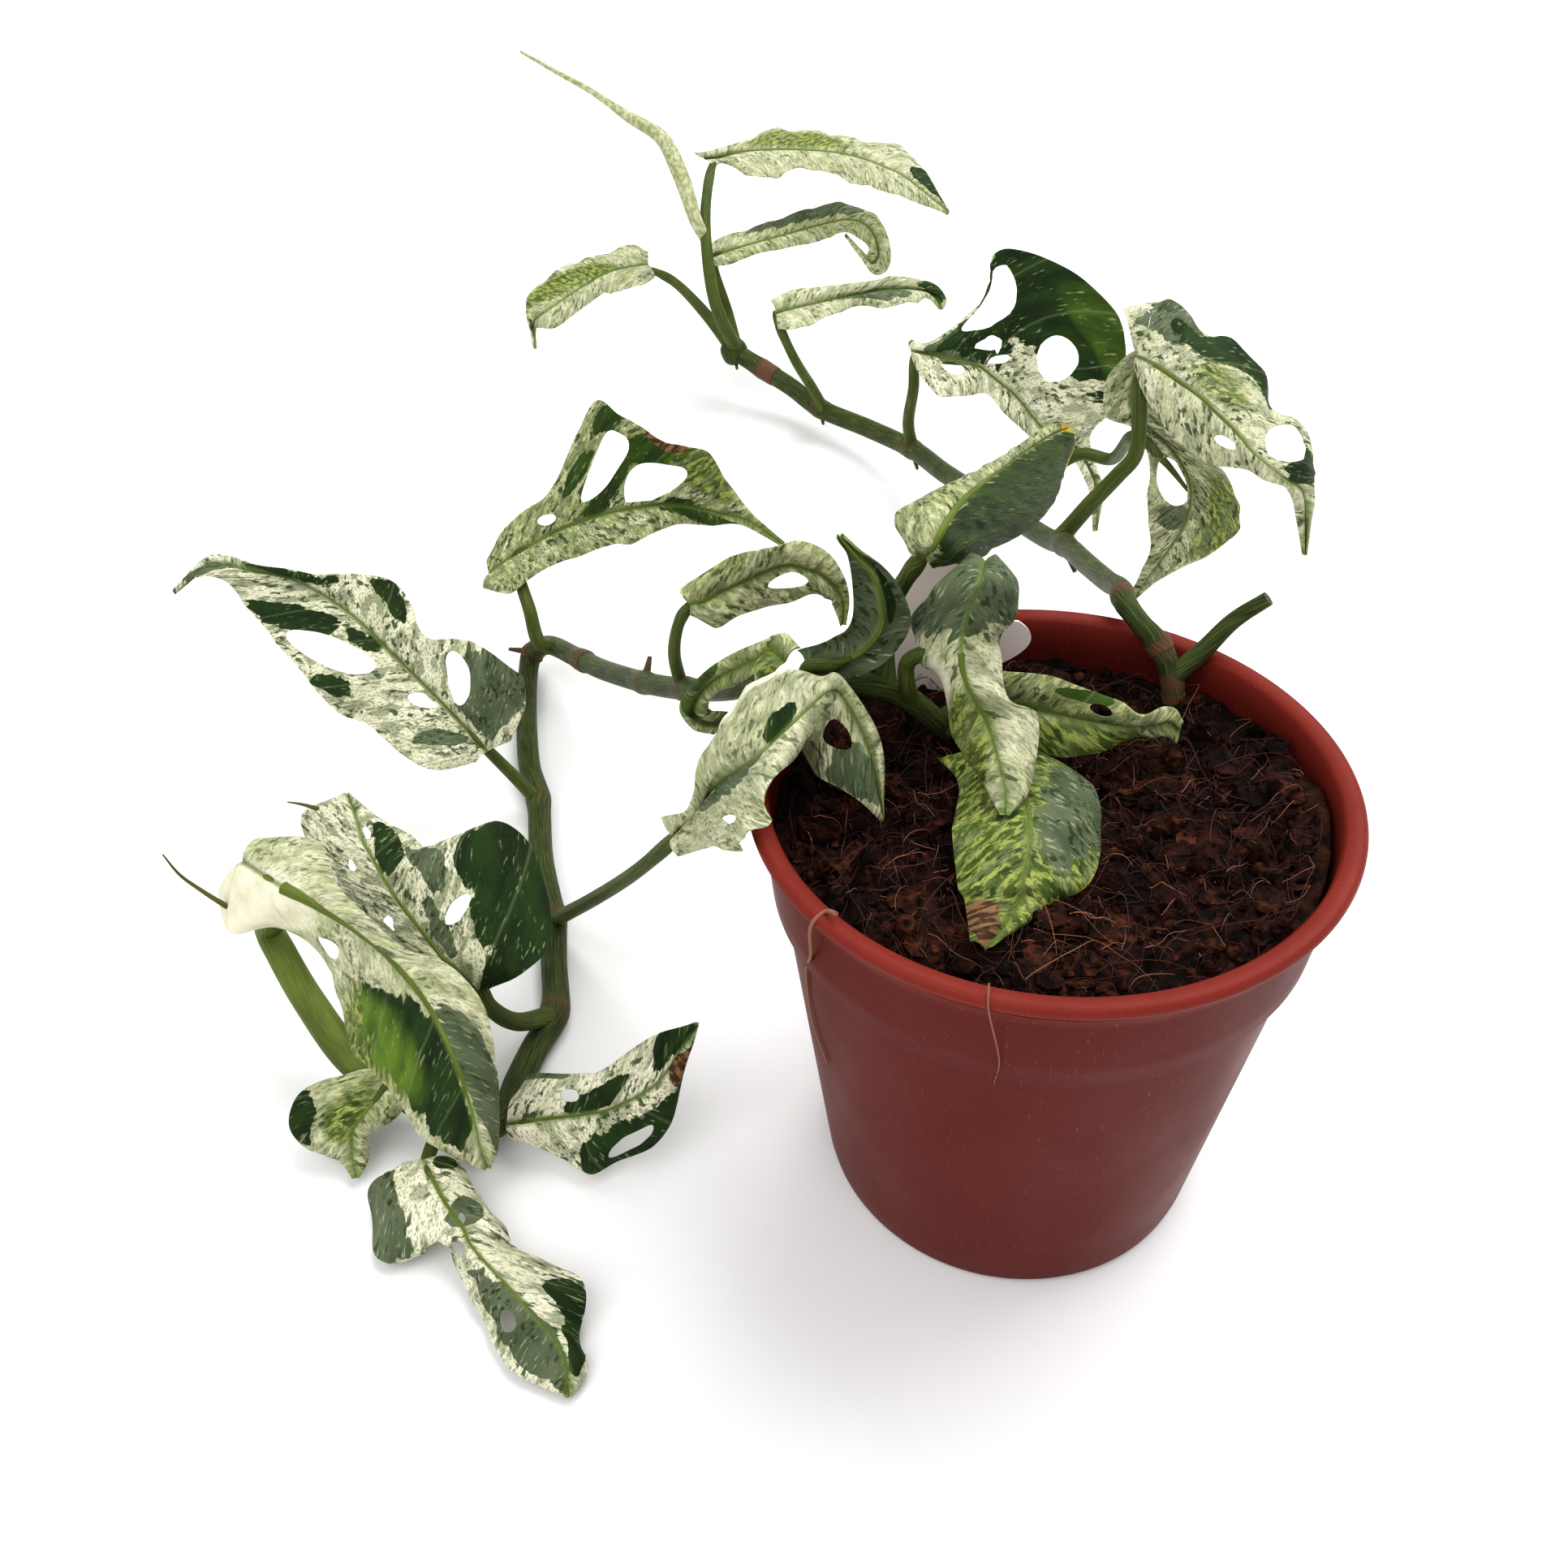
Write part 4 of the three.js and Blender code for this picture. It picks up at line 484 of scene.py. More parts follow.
            [88, 159, 122], [91, 152, 114], [98, 151, 109], [102, 142, 102], [101, 140, 98],
            [100, 134, 90]],
        rib=[[52, 162, 128], [56, 155, 128], [60, 148, 127], [65, 142, 125], [69, 138, 122], [74, 134, 118],
            [78, 130, 114], [84, 129, 109], [90, 131, 104], [96, 134, 99], [99, 134, 90]],
        right=[[51, 158, 126], [52, 151, 123], [55, 145, 119], [58, 139, 116], [64, 135, 112],
            [70, 131, 110], [78, 131, 108], [83, 130, 106], [89, 131, 103], [94, 133, 97], [97, 134, 90]],
        tip=[[100, 131, 80]],
        holes=[(0.62, -0.5, 0.07, -0.14, 0.01, 0.34), (0.03, -0.51, 0.03, -0.4, 0.03, 0.06),
            (0.44, 0.4, 0.04, -0.04, 0, 0.12)],
        dark=[(0.41, -0.9, 0.12, 0, -0.01, 0.2), (0.73, -0.51, 0.03, -0.44, 0.06, 0.26),
            (0.27, -0.68, 0.1, -0.04, -0.01, 0.16)], grey=[(0.16, -0.75, 0.12, -0.04, -0.03, 0.34)],
        green=[(0.34, -0.29, 0.1, 0, -0.03, 0.22)]),
    # Crumpled leaf hanging straight down from its curled base lobes.
    "leaf_back_hanging": dict(
        joint=(0.42, 1), thick=(2.4, 1.8), ground=(0.3, 0.9), ruffle=1.3,
        stalk=[[28, 211, 52], [41, 211, 66], [51, 209, 74], [60, 201, 76]],
        left=[[64, 176, 123], [65, 172, 119], [63, 170, 111], [65, 168, 105], [73, 168, 96], [86, 172, 86],
            [92, 174, 75], [96, 172, 65], [85, 168, 59], [70, 164, 53]],
        rib=[[57, 170, 127], [54, 166, 122], [53, 166, 115], [55, 166, 109], [65, 168, 99], [71, 170, 92],
            [76, 168, 83], [76, 166, 73], [72, 164, 65], [66, 162, 57]],
        right=[[51, 172, 122], [48, 172, 118], [47, 170, 112], [49, 170, 106], [57, 166, 103],
            [62, 166, 95], [62, 164, 86], [64, 164, 74], [66, 162, 64], [63, 160, 58]],
        tip=[[60, 160, 47]], holes=[(0.58, 0.4, 0.07, -0.26, 0.03, 0.38)],
        dark=[(0.12, -0.38, 0, -0.26, 0.09, -0.22)],
        grey=[(0.69, 0.4, 0, -0.4, 0.04, -0.04), (0.1, -0.5, 0, -0.4, 0.09, -0.2)],
        green=[(0.67, -0.73, -0.02, -0.48, 0.14, -0.06)]),
}


# Small pieces of geometry. A part is a dictionary of points in millimetres, faces, the number of its
# material, and three values at each point under the names that the finishes read.

VALUES = ("grain", "marks", "ground")


def polar(reach, turn):
    return reach * math.cos(turn), reach * math.sin(turn)


def steps(low, high, value):
    t = np.clip((value - low) / (high - low), 0, 1)
    return t * t * (3 - 2 * t)


def unit(vectors):
    return vectors / np.maximum(np.linalg.norm(vectors, axis=-1, keepdims=True), 1e-9)


def line_at(points, place):
    """A smooth line through the points, at places from 0 to 1; its two ends run on straight."""
    points = np.asarray(points, float)
    last = len(points) - 1
    padded = np.vstack([2 * points[0] - points[1], points, 2 * points[-1] - points[-2]])
    where = np.clip(place, 0, 1) * last
    i = np.minimum(where.astype(int), last - 1)
    w = (where - i)[..., None]
    p0, p1, p2, p3 = (padded[i + k] for k in range(4))
    return p1 + 0.5 * w * (p2 - p0 + w * (2 * p0 - 5 * p1 + 4 * p2 - p3 + w * (3 * (p1 - p2) + p3 - p0)))


def measured(points, count):
    """Many points along the smooth line, and the distance of each from its start."""
    fine = line_at(points, np.linspace(0, 1, count))
    return fine, np.concatenate([[0], np.cumsum(np.linalg.norm(np.diff(fine, axis=0), axis=1))])


def even_line(points, count):
    """Evenly spaced points along the smooth line, and the distance of each from its start."""
    fine, run = measured(points, 400)
    want = np.linspace(0, run[-1], count)
    return np.stack([np.interp(want, run, fine[:, k]) for k in range(3)], axis=1), want


def grid_faces(rows, columns, closed=False):
    faces = []
    for i in range(rows - 1):
        for k in range(columns if closed else columns - 1):
            n = (k + 1) % columns
            faces.append((i * columns + k, i * columns + n, (i + 1) * columns + n, (i + 1) * columns + k))
    return faces


def rod_faces(rings, sides):
    """The faces of a closed rod: its rings of points, then a cap at each end."""
    caps = [tuple(range(sides - 1, -1, -1)), tuple(range((rings - 1) * sides, rings * sides))]
    return grid_faces(rings, sides, True) + caps


def part_of(points, faces, slot=0, **values):
    """A part; each of its values is given for all points at once or point by point."""
    points = np.asarray(points, float)
    for key in VALUES:
        values[key] = np.broadcast_to(np.asarray(values.get(key, 0), float), points.shape)
    return dict(points=points, faces=faces, slot=slot, **values)


def tube(points, radius_at, sides, count, seed=0, ring_at=None, tint=0, groove=0, slot=0):
    """A closed round rod along a line; groove presses a channel into its upper side."""
    centres, run = even_line(points, count)
    ways = unit(np.gradient(centres, axis=0))
    side = unit(np.cross(ways[0], (0, 0, 1) if abs(ways[0][2]) < 0.9 else (1, 0, 0)))
    angles = np.arange(sides) * 2 * math.pi / sides
    rows, grain, marks = [], [], []
    for i, (centre, way) in enumerate(zip(centres, ways)):
        side = unit(side - way * np.dot(side, way))
        radius = radius_at(i / (count - 1))
        spokes = np.outer(np.cos(angles), side) + np.outer(np.sin(angles), np.cross(way, side))
        press = 1 - groove * np.clip(spokes[:, 2], 0, 1) ** 6
        rows.append(centre + spokes * (radius * press)[:, None])
        grain += [(a * radius, run[i], seed) for a in angles]
        marks += [(ring_at(centre) if ring_at else 0, 0, 0)] * sides
    return part_of(np.vstack(rows), rod_faces(count, sides), slot, grain=grain, marks=marks,
        ground=(tint, 0, 0))


def turned(profile, sides):
    """Rings of points round the upright axis, one for each radius and height."""
    turns = [2 * math.pi * k / sides for k in range(sides)]
    return [(*polar(radius, turn), height) for radius, height in profile for turn in turns]


def spokes_of_ball(rows, columns, twist=0):
    for i in range(rows):
        tilt = math.pi * i / (rows - 1)
        for k in range(columns):
            x, y = polar(math.sin(tilt), 2 * math.pi * k / columns + twist * tilt)
            yield Vector((x, y, math.cos(tilt)))


def placed(name, data):
    thing = bpy.data.objects.new(name, data)
    bpy.context.scene.collection.objects.link(thing)
    return thing


def joined(name, parts):
    """One mesh from its parts, in place."""
    faces, offset = [], 0
    for part in parts:
        faces += [tuple(i + offset for i in face) for face in part["faces"]]
        offset += len(part["points"])
    mesh = bpy.data.meshes.new(name)
    mesh.from_pydata((np.vstack([part["points"] for part in parts]) * MM).tolist(), [], faces)
    return placed(name, mesh)


def piece(name, parts, finishes, node):
    """A finished piece that rides on the plant and stands for its plain solid."""
    thing = joined(name, parts)
    for finish in finishes:
        thing.data.materials.append(finish)
    numbers = np.concatenate([np.full(len(part["faces"]), part["slot"]) for part in parts])
    thing.data.polygons.foreach_set("material_index", numbers.astype(np.int32))
    for key in VALUES:
        values = np.vstack([part[key] for part in parts]).astype(np.float32)
        thing.data.attributes.new(key, "FLOAT_VECTOR", "POINT").data.foreach_set("vector", values.ravel())
    thing.data.shade_smooth()
    thing.data.set_sharp_from_angle(angle=math.radians(50))
    thing.data.update()
    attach(thing, "root")
    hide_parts(node)
    return thing


# Finishes.

def colour(hex_code):
    """An sRGB colour as linear light."""
    parts = [int(hex_code[i:i + 2], 16) / 255 for i in (1, 3, 5)]
    return [c / 12.92 if c <= 0.04045 else ((c + 0.055) / 1.055) ** 2.4 for c in parts] + [1]


def fill(tree, node, links):
    """Gives each socket of a node a value, a hex colour or another node's output."""
    for socket, value in links.items():
        if isinstance(value, bpy.types.NodeSocket):
            tree.links.new(value, node.inputs[socket])
        else:
            node.inputs[socket].default_value = colour(value) if isinstance(value, str) else value


def add(tree, kind, links, stops=(), out=0, **settings):
    """Adds a shader node with its settings and links; returns one of its outputs, or all for None."""
    node = tree.nodes.new("ShaderNode" + kind)
    for key, value in settings.items():
        setattr(node, key, value)
    fill(tree, node, links)
    for k, (place, value) in enumerate(stops):
        node.color_ramp.elements[k].position = place
        node.color_ramp.elements[k].color = [value, value, value, 1]
    return node.outputs if out is None else node.outputs[out]


def new_finish(name):
    finish = bpy.data.materials.new(name)
    finish.use_nodes = True
    return finish, finish.node_tree, finish.node_tree.nodes["Principled BSDF"]


def kept_at_points(tree, attribute):
    """The three values that a mesh keeps at its points under this name, together and one by one."""
    vector = add(tree, "Attribute", {}, out="Vector", attribute_name=attribute)
    return vector, add(tree, "SeparateXYZ", {0: vector}, out=None)


def speckle(tree, grain, size, low, high, detail=2.0, shift=0.0):
    """Noise with patches of the given size, in the units of the grain, sharpened between low and high."""
    spread = add(tree, "Mapping", {0: grain, 1: (shift, shift, 0), 3: [1 / s for s in size]})
    rough = add(tree, "TexNoise", {"Vector": spread, "Scale": 1.0, "Detail": detail})
    return add(tree, "ValToRGB", {0: rough}, stops=[(low, 0), (high, 1)])


def share(tree, amount, *factors):
    """How much of a layer shows: an amount times its factors, never more than all."""
    for factor in factors:
        amount = add(tree, "Math", {0: amount, 1: factor}, operation="MULTIPLY", use_clamp=True)
    return amount


def layered(tree, base, layers):
    """Lays colours over each other; each layer is its colour, and the factors of how much of it shows."""
    for top, *factors in layers:
        base = add(tree, "MixRGB", {0: share(tree, *factors), 1: base, 2: top})
    return base


def leaf_finish():
    # Thin waxy leaf of a variegated monstera: cream skin with green cells below it, thin in the grey-green
    # islands between the side veins and dense in the flecks; a dull sheen from the wax.
    finish, tree, surface = new_finish("variegated_leaf")
    grain, (fan, out, _) = kept_at_points(tree, "grain")
    _, (dark, grey, brown) = kept_at_points(tree, "marks")
    _, (green, flecked, warm) = kept_at_points(tree, "ground")
    ragged = share(tree, speckle(tree, grain, (5, 8, 1), 0.34, 0.66, 7.0), 0.8)
    cloud = speckle(tree, grain, (7, 12, 1), 0.4, 0.6, 4.0, 40.0)
    net = speckle(tree, grain, (1.6, 2.8, 1), 0.46, 0.54, 7.0, 13.0)
    island = speckle(tree, grain, (4, 6, 1), 0.49, 0.55, 7.0, 71.0)
    fleck = speckle(tree, grain, (1.6, 2.2, 1), 0.53, 0.57, 5.0, 5.0)
    small_fleck = speckle(tree, grain, (0.45, 0.9, 1), 0.55, 0.58, 2.0, 90.0)
    crowd = speckle(tree, grain, (7, 9, 1), 0.44, 0.54, 4.0, 55.0)
    pale_fleck = speckle(tree, grain, (0.8, 3.2, 1), 0.6, 0.66, 3.0, 23.0)
    stripe = add(tree, "Math", {0: fan, 1: VEIN_SPACING}, operation="PINGPONG")
    from_vein = add(tree, "Math", {0: stripe, 1: 1.6}, operation="DIVIDE", use_clamp=True)
    vein = add(tree, "ValToRGB", {0: from_vein}, stops=[(0.0, 1), (0.4, 0)])
    between = add(tree, "Math", {0: 1.0, 1: vein}, operation="SUBTRACT", use_clamp=True)
    from_rib = add(tree, "Math", {0: out, 1: 3.0}, operation="DIVIDE", use_clamp=True)
    rib = add(tree, "ValToRGB", {0: from_rib}, stops=[(0.1, 1), (0.4, 0)])
    fresh = add(tree, "ValToRGB", {0: green}, stops=[(0.4, 0), (0.9, 1)])
    bright = add(tree, "Math", {0: share(tree, cloud, 0.4), 1: 0.4}, operation="ADD", use_clamp=True)
    greening = add(tree, "Math", {0: share(tree, cloud, 0.25), 1: green}, operation="ADD", use_clamp=True)
    fleck = share(tree, fleck, crowd, share(tree, flecked, 1.5))

    def patch(amount):
        both = add(tree, "Math", {0: amount, 1: ragged}, operation="ADD")
        return add(tree, "ValToRGB", {0: both}, stops=[(0.88, 0), (0.94, 1)])

    cream = layered(tree, "#ece8d0", [
        ("#9da65a", greening),
        ("#435622", net, green, 0.9),
        ("#6f7a57", island, between, flecked, 0.75),
        ("#2f4120", fleck, 0.9),
        ("#3d4f28", small_fleck, flecked, 0.7),
    ])
    deep = layered(tree, "#202f18", [
        ("#334d1f", cloud, 0.5),
        ("#6d8a2c", fresh, bright),
        ("#9aa87c", pale_fleck, crowd, 0.6),
    ])
    ashen = layered(tree, "#656f55", [
        ("#46543a", cloud, 0.7),
        ("#26361d", fleck, 0.8),
        ("#b9bf9f", pale_fleck, 0.5),
    ])
    skin = layered(tree, cream, [
        (ashen, patch(grey)),
        (deep, patch(dark)),
        ("#c5cb9c", vein, 0.12),
        ("#6d8143", rib, 0.75),
        ("#b09a35", patch(warm)),
        (layered(tree, "#86694a", [("#4a3423", net)]), patch(brown)),
    ])
    relief = add(tree, "Math", {0: vein, 1: share(tree, net, 0.35)}, operation="SUBTRACT")
    bump = add(tree, "Bump", {"Height": relief, "Strength": 0.6, "Distance": 0.0004})
    fill(tree, surface, {"Base Color": skin, "Roughness": 0.5, "Specular IOR Level": 0.1, "Normal": bump,
        "Subsurface Weight": 0.08, "Subsurface Radius": (0.002, 0.003, 0.001), "Subsurface Scale": 0.4})
    return finish


def stem_finish():
    # Fleshy green stem: lengthwise pale lines in a dark olive skin, with corky brown rings at the nodes.
    finish, tree, surface = new_finish("green_stem")
    grain, _ = kept_at_points(tree, "grain")
    _, (ring, _, _) = kept_at_points(tree, "marks")
    _, (tint, _, _) = kept_at_points(tree, "ground")
    line = speckle(tree, grain, (0.6, 16, 1), 0.42, 0.62, 3.0)
    fine_line = speckle(tree, grain, (0.25, 7, 1), 0.5, 0.62, 2.0, 31.0)
    cloud = speckle(tree, grain, (6, 14, 1), 0.35, 0.65, 2.0, 12.0)
    skin = layered(tree, "#343f20", [
        ("#7b8c3c", tint),
        ("#5f6c35", line, 0.45),
        ("#949c62", fine_line, 0.25),
        ("#2c371c", cloud, 0.4),
        ("#6a4d3a", ring),
    ])
    bump = add(tree, "Bump", {"Height": line, "Strength": 0.5, "Distance": 0.0004})
    fill(tree, surface, {"Base Color": skin, "Roughness": 0.45, "Specular IOR Level": 0.1, "Normal": bump,
        "Subsurface Weight": 0.05, "Subsurface Scale": 0.001})
    return finish


def pot_finish():
    # Injection-moulded polypropylene in terracotta red: a fine satin grain, faint scuffs and dust. The band
    # near the rim, inside and out, is painted lighter red: painted light for the glow through the thin rim.
    # Its sizes are in metres, as places are.
    finish, tree, surface = new_finish("terracotta_plastic")
    place = add(tree, "TexCoord", {}, out="Object")
    height = add(tree, "SeparateXYZ", {0: place}, out=2)
    scuff = speckle(tree, place, (0.0004, 0.0004, 0.004), 0.66, 0.72, 3.0)
    cloud = speckle(tree, place, (0.02, 0.02, 0.03), 0.3, 0.7, 3.0, 3.0)
    dust = speckle(tree, place, (0.0007, 0.0007, 0.0007), 0.74, 0.8, 2.0, 9.0)
    moulded = speckle(tree, place, (0.0003, 0.0003, 0.0003), 0.3, 0.7, 2.0, 5.0)
    # Painted light: from 105 mm up to the rim the pot is painted lighter red, as if lit through the thin
    # rim.
    rim_painted_light = add(tree, "MapRange", {0: height, 1: 0.105, 2: 0.1135})
    skin = layered(tree, "#60201a", [
        ("#973c31", rim_painted_light, 0.55),
        ("#581d17", cloud, 0.25),
        ("#b5756a", scuff, 0.18),
        ("#cf9c8f", dust, 0.4),
    ])
    gloss = add(tree, "MixRGB", {0: cloud, 1: (0.38, 0.38, 0.38, 1), 2: (0.5, 0.5, 0.5, 1)})
    bump = add(tree, "Bump", {"Height": moulded, "Strength": 0.08, "Distance": 0.0001})
    fill(tree, surface, {"Base Color": skin, "Roughness": gloss, "Specular IOR Level": 0.1, "Normal": bump})
    return finish


def soil_finish(name, dark, light, size):
    # Moist coir and peat: dull, dark brown to reddish brown fibre. The crumb relief also sets the colour, so
    # its hollows are painted near black as painted shade. Its sizes are in metres.
    finish, tree, surface = new_finish(name)
    place = add(tree, "TexCoord", {}, out="Object")
    # Painted shade: the noise that raises the crumbs also lightens them, so the hollows between get the near
    # black colour.
    crumb = speckle(tree, place, (size, size, size), 0.35, 0.7, 5.0)
    dry = speckle(tree, place, (0.011, 0.011, 0.011), 0.4, 0.58, 3.0, 17.0)
    dry = add(tree, "Math", {0: dry, 1: 0.25}, operation="ADD", use_clamp=True)
    bump = add(tree, "Bump", {"Height": crumb, "Strength": 0.8, "Distance": 0.0008})
    fill(tree, surface, {"Base Color": layered(tree, dark, [(light, crumb, dry)]), "Roughness": 0.7,
        "Specular IOR Level": 0.1, "Normal": bump})
    return finish


def plain_finish(name, base, roughness):
    finish, tree, surface = new_finish(name)
    fill(tree, surface, {"Base Color": base, "Roughness": roughness})
    return finish


# Leaves.

def blade_surface(leaf, index):
    """A blade as four functions: place, upward way, distance along the rib and half width."""
    rib, left, right = (np.array(leaf[key] + leaf.get("tip", []), float) for key in ("rib", "left", "right"))

    def from_rib(along, across):
        edge = np.where((across < 0)[..., None], line_at(left, along), line_at(right, along))
        return edge - line_at(rib, along)

    def flat(along, across):
        return line_at(rib, along) + from_rib(along, across) * np.abs(across)[..., None]

    def across_way(along):
        inner = np.clip(along, *WIDE_STRETCH)
        return unit(line_at(right, inner) - line_at(left, inner))

    def up(along, across):
        inner = np.clip(along, *WIDE_STRETCH)
        way = flat(inner + SLOPE_STEP, across) - flat(inner - SLOPE_STEP, across)
        turn = np.clip(across / NEAR_RIB, -1, 1)
        low = np.where(turn >= 1, 0.0, -1.0 + np.clip(turn, 0, 1))
        high = np.where(turn <= -1, 0.0, 1.0 + np.clip(turn, -1, 0))
        span = flat(inner, np.maximum(high, TINY)) - flat(inner, np.minimum(low, -TINY))
        return unit(np.cross(span, way))

    def at(along, across):
        half = np.abs(across)
        turn = 2 * math.pi * WAVES_PER_EDGE * along + index + np.where(across < 0, 2, 0)
        wave = EDGE_WAVE * half * half * np.sin(turn) * np.sin(math.pi * along)
        lift = CROWN * 4 * half * (1 - half) + wave
        point = flat(along, across) + across_way(along) * (LEAST_HALF_WIDTH * across)[..., None]
        return point + up(along, across) * lift[..., None]

    def run_to(along):
        run = measured(rib, 300)[1]
        return np.interp(along, np.linspace(0, 1, len(run)), run)

    def half_width(along, across):
        return np.linalg.norm(from_rib(along, across), axis=-1)

    return at, up, run_to, half_width


def in_oval(place, along, across):
    """Where each point lies in an oval, by its two half axes, and how far out: 1 on the outline."""
    u, v, long_u, long_v, short_u, short_v = place
    det = long_u * short_v - long_v * short_u
    du, dv = along - u, across - v
    first = (du * short_v - dv * short_u) / det
    second = (long_u * dv - long_v * du) / det
    return first, second, np.hypot(first, second)


def patches(places, along, across):
    amount = np.zeros_like(along)
    for place in places:
        amount = np.maximum(amount, 1 - steps(*PATCH_EDGE, in_oval(place, along, across)[2]))
    return amount


def open_holes(along, across, faces, holes):
    """Drops the faces inside each hole and draws its rim onto the hole's outline."""
    keep = np.ones(len(faces), bool)
    for hole in holes:
        side = 1 if hole[1] > 0 else -1
        middle_u, middle_v = along[faces].mean(1), across[faces].mean(1)
        inside = in_oval(hole, middle_u, middle_v)[2] < 1
        inside &= (middle_v * side > RIB_CLEAR) & (middle_v * side < EDGE_CLEAR)
        inside &= (middle_u > HOLE_STRETCH[0]) & (middle_u < HOLE_STRETCH[1])
        rim = np.intersect1d(faces[inside], faces[keep & ~inside])
        first, second, far = in_oval(hole, along[rim], across[rim])
        far = np.maximum(far, TINY)
        along[rim] = hole[0] + (hole[2] * first + hole[4] * second) / far
        across[rim] = hole[1] + (hole[3] * first + hole[5] * second) / far
        across[rim] = side * np.clip(across[rim] * side, RIB_CLEAR, EDGE_CLEAR)
        keep &= ~inside
    return faces[keep]


def blade_relief(run, fan, out, wide, edge, seed, ruffle):
    """How far the skin lies above the smooth blade; the sines turn by radians for each millimetre."""
    bend = fan + 2.6 * np.sin(fan * 0.13 + seed) + 1.2 * np.sin(out * 0.31 + fan * 0.17 + seed)
    uneven = 0.6 + 0.4 * np.sin(fan * 0.37 + out * 0.23 + seed)
    pucker = PUCKER * uneven * np.sin(2 * math.pi * bend / VEIN_SPACING) * steps(0.5, 6, out) * (1 - edge)
    soft = ruffle * edge * np.clip(wide / 26, 0.1, 1)
    wave = RUFFLES[0] * soft * np.sin(run * 0.33 + seed) + RUFFLES[1] * soft * np.sin(run * 0.71 + 2 * seed)
    swirl = np.sin(0.8 * fan + 1.4 * np.sin(0.31 * out + seed))
    swirl = swirl * np.sin(0.6 * out + 1.2 * np.sin(0.37 * fan + seed))
    crinkle = CRINKLE * swirl * steps(1, 6, out) * (1 - 0.6 * edge) * np.clip(wide / 18, 0.3, 1)
    return pucker + crinkle + wave


def blade_part(leaf, index):
    at, up, run_to, half_width = blade_surface(leaf, index)
    grid = np.meshgrid(np.linspace(0, 1, ROWS + 1), np.linspace(-1, 1, STRIPS + 1), indexing="ij")
    along, across = grid[0].ravel(), grid[1].ravel()
    faces = open_holes(along, across, np.array(grid_faces(ROWS + 1, STRIPS + 1)), leaf.get("holes", []))
    run, wide = run_to(along), half_width(along, across)
    out = np.abs(across) * wide
    fan = run - VEIN_SLANT * out
    seed = 31.0 * index + np.where(across < 0, 11.0, 0)
    ends = np.sin(math.pi * np.clip(along, 0, 1)) ** 0.5
    relief = blade_relief(run, fan, out, wide, np.abs(across) ** 3, seed, leaf.get("ruffle", 1))
    lift = relief * ends - CHANNEL[0] * np.exp(-(out / CHANNEL[1]) ** 2)
    normal = up(along, across)
    middle = at(along, across) + normal * lift[:, None]
    points = np.vstack([middle + normal * BLADE_THICKNESS / 2, middle - normal * BLADE_THICKNESS / 2])
    edges = np.vstack([faces[:, [k, (k + 1) % 4]] for k in range(4)])
    _, first, uses = np.unique(np.sort(edges, axis=1), axis=0, return_index=True, return_counts=True)
    count = len(along)
    walls = [(b, a, a + count, b + count) for a, b in edges[first[uses == 1]]]
    all_faces = [tuple(f) for f in faces] + [tuple(f[::-1] + count) for f in faces] + walls
    layer = {kind: patches(leaf.get(kind, []), along, across) for kind in MARK_KINDS}
    green, flecks = leaf["ground"]
    tint = np.clip(green + layer["green"] * 0.6 - layer["pale"] * 0.6, 0, 1)
    crowd = np.clip(flecks * (1 - layer["pale"]), 0, 1)
    values = dict(grain=(fan, out, seed), marks=(layer["dark"], layer["grey"], layer["brown"]),
        ground=(tint, crowd, layer["yellow"]))
    values = {key: np.tile(np.stack(three, axis=1), (2, 1)) for key, three in values.items()}
    return part_of(points, all_faces, **values)


def stalk_part(leaf, index):
    at, up, _, _ = blade_surface(leaf, index)
    joint, aside = leaf.get("joint", STALK_JOINT)
    foot, top = leaf["thick"]
    places = joint + np.array(STALK_UNDER)
    asides = aside * np.array([1, 0.5, 0])
    depth = (BLADE_THICKNESS / 2 + top * np.array(STALK_SUNK))[:, None]
    path = np.vstack([leaf["stalk"], at(places, asides) - up(places, asides) * depth])

    def radius_at(t):
        if t < STALK_FREE_PART:
            swell = 0.35 * math.exp(-(t / 0.06) ** 2) + 0.2 * math.exp(-((t - 0.7) / 0.05) ** 2)
            return foot + (top - foot) * t / STALK_FREE_PART + swell
        return top + (STALK_END - top) * (t - STALK_FREE_PART) / (1 - STALK_FREE_PART)

    tint = leaf.get("tint", 0.25)
    return tube(path, radius_at, 20, 60, seed=17.0 * index, tint=tint, groove=0.18, slot=1)


def rib_part(leaf, index):
    """The raised midrib below the blade, from the stalk to the tip."""
    at, up, _, _ = blade_surface(leaf, index)
    along = np.linspace(leaf.get("joint", STALK_JOINT)[0] + 0.05, 0.97, 30)
    middle = np.zeros_like(along)
    foot = leaf["thick"][1] * 0.5
    line = at(along, middle) - up(along, middle) * 0.55
    return tube(line, lambda t: foot + (RIB_END - foot) * t ** 0.6, 8, 60, tint=0.8, slot=1)


def leaf_piece(name, leaf, index, finishes):
    parts = [blade_part(leaf, index), stalk_part(leaf, index), rib_part(leaf, index)]
    if name in WHISKERS:
        parts.append(tube(WHISKERS[name], lambda t: 0.7 - 0.5 * t, 8, 24, tint=0.5, slot=1,
            ring_at=lambda point: 0.4))
    piece(name + "_blade", parts, finishes, name)


# Vines.

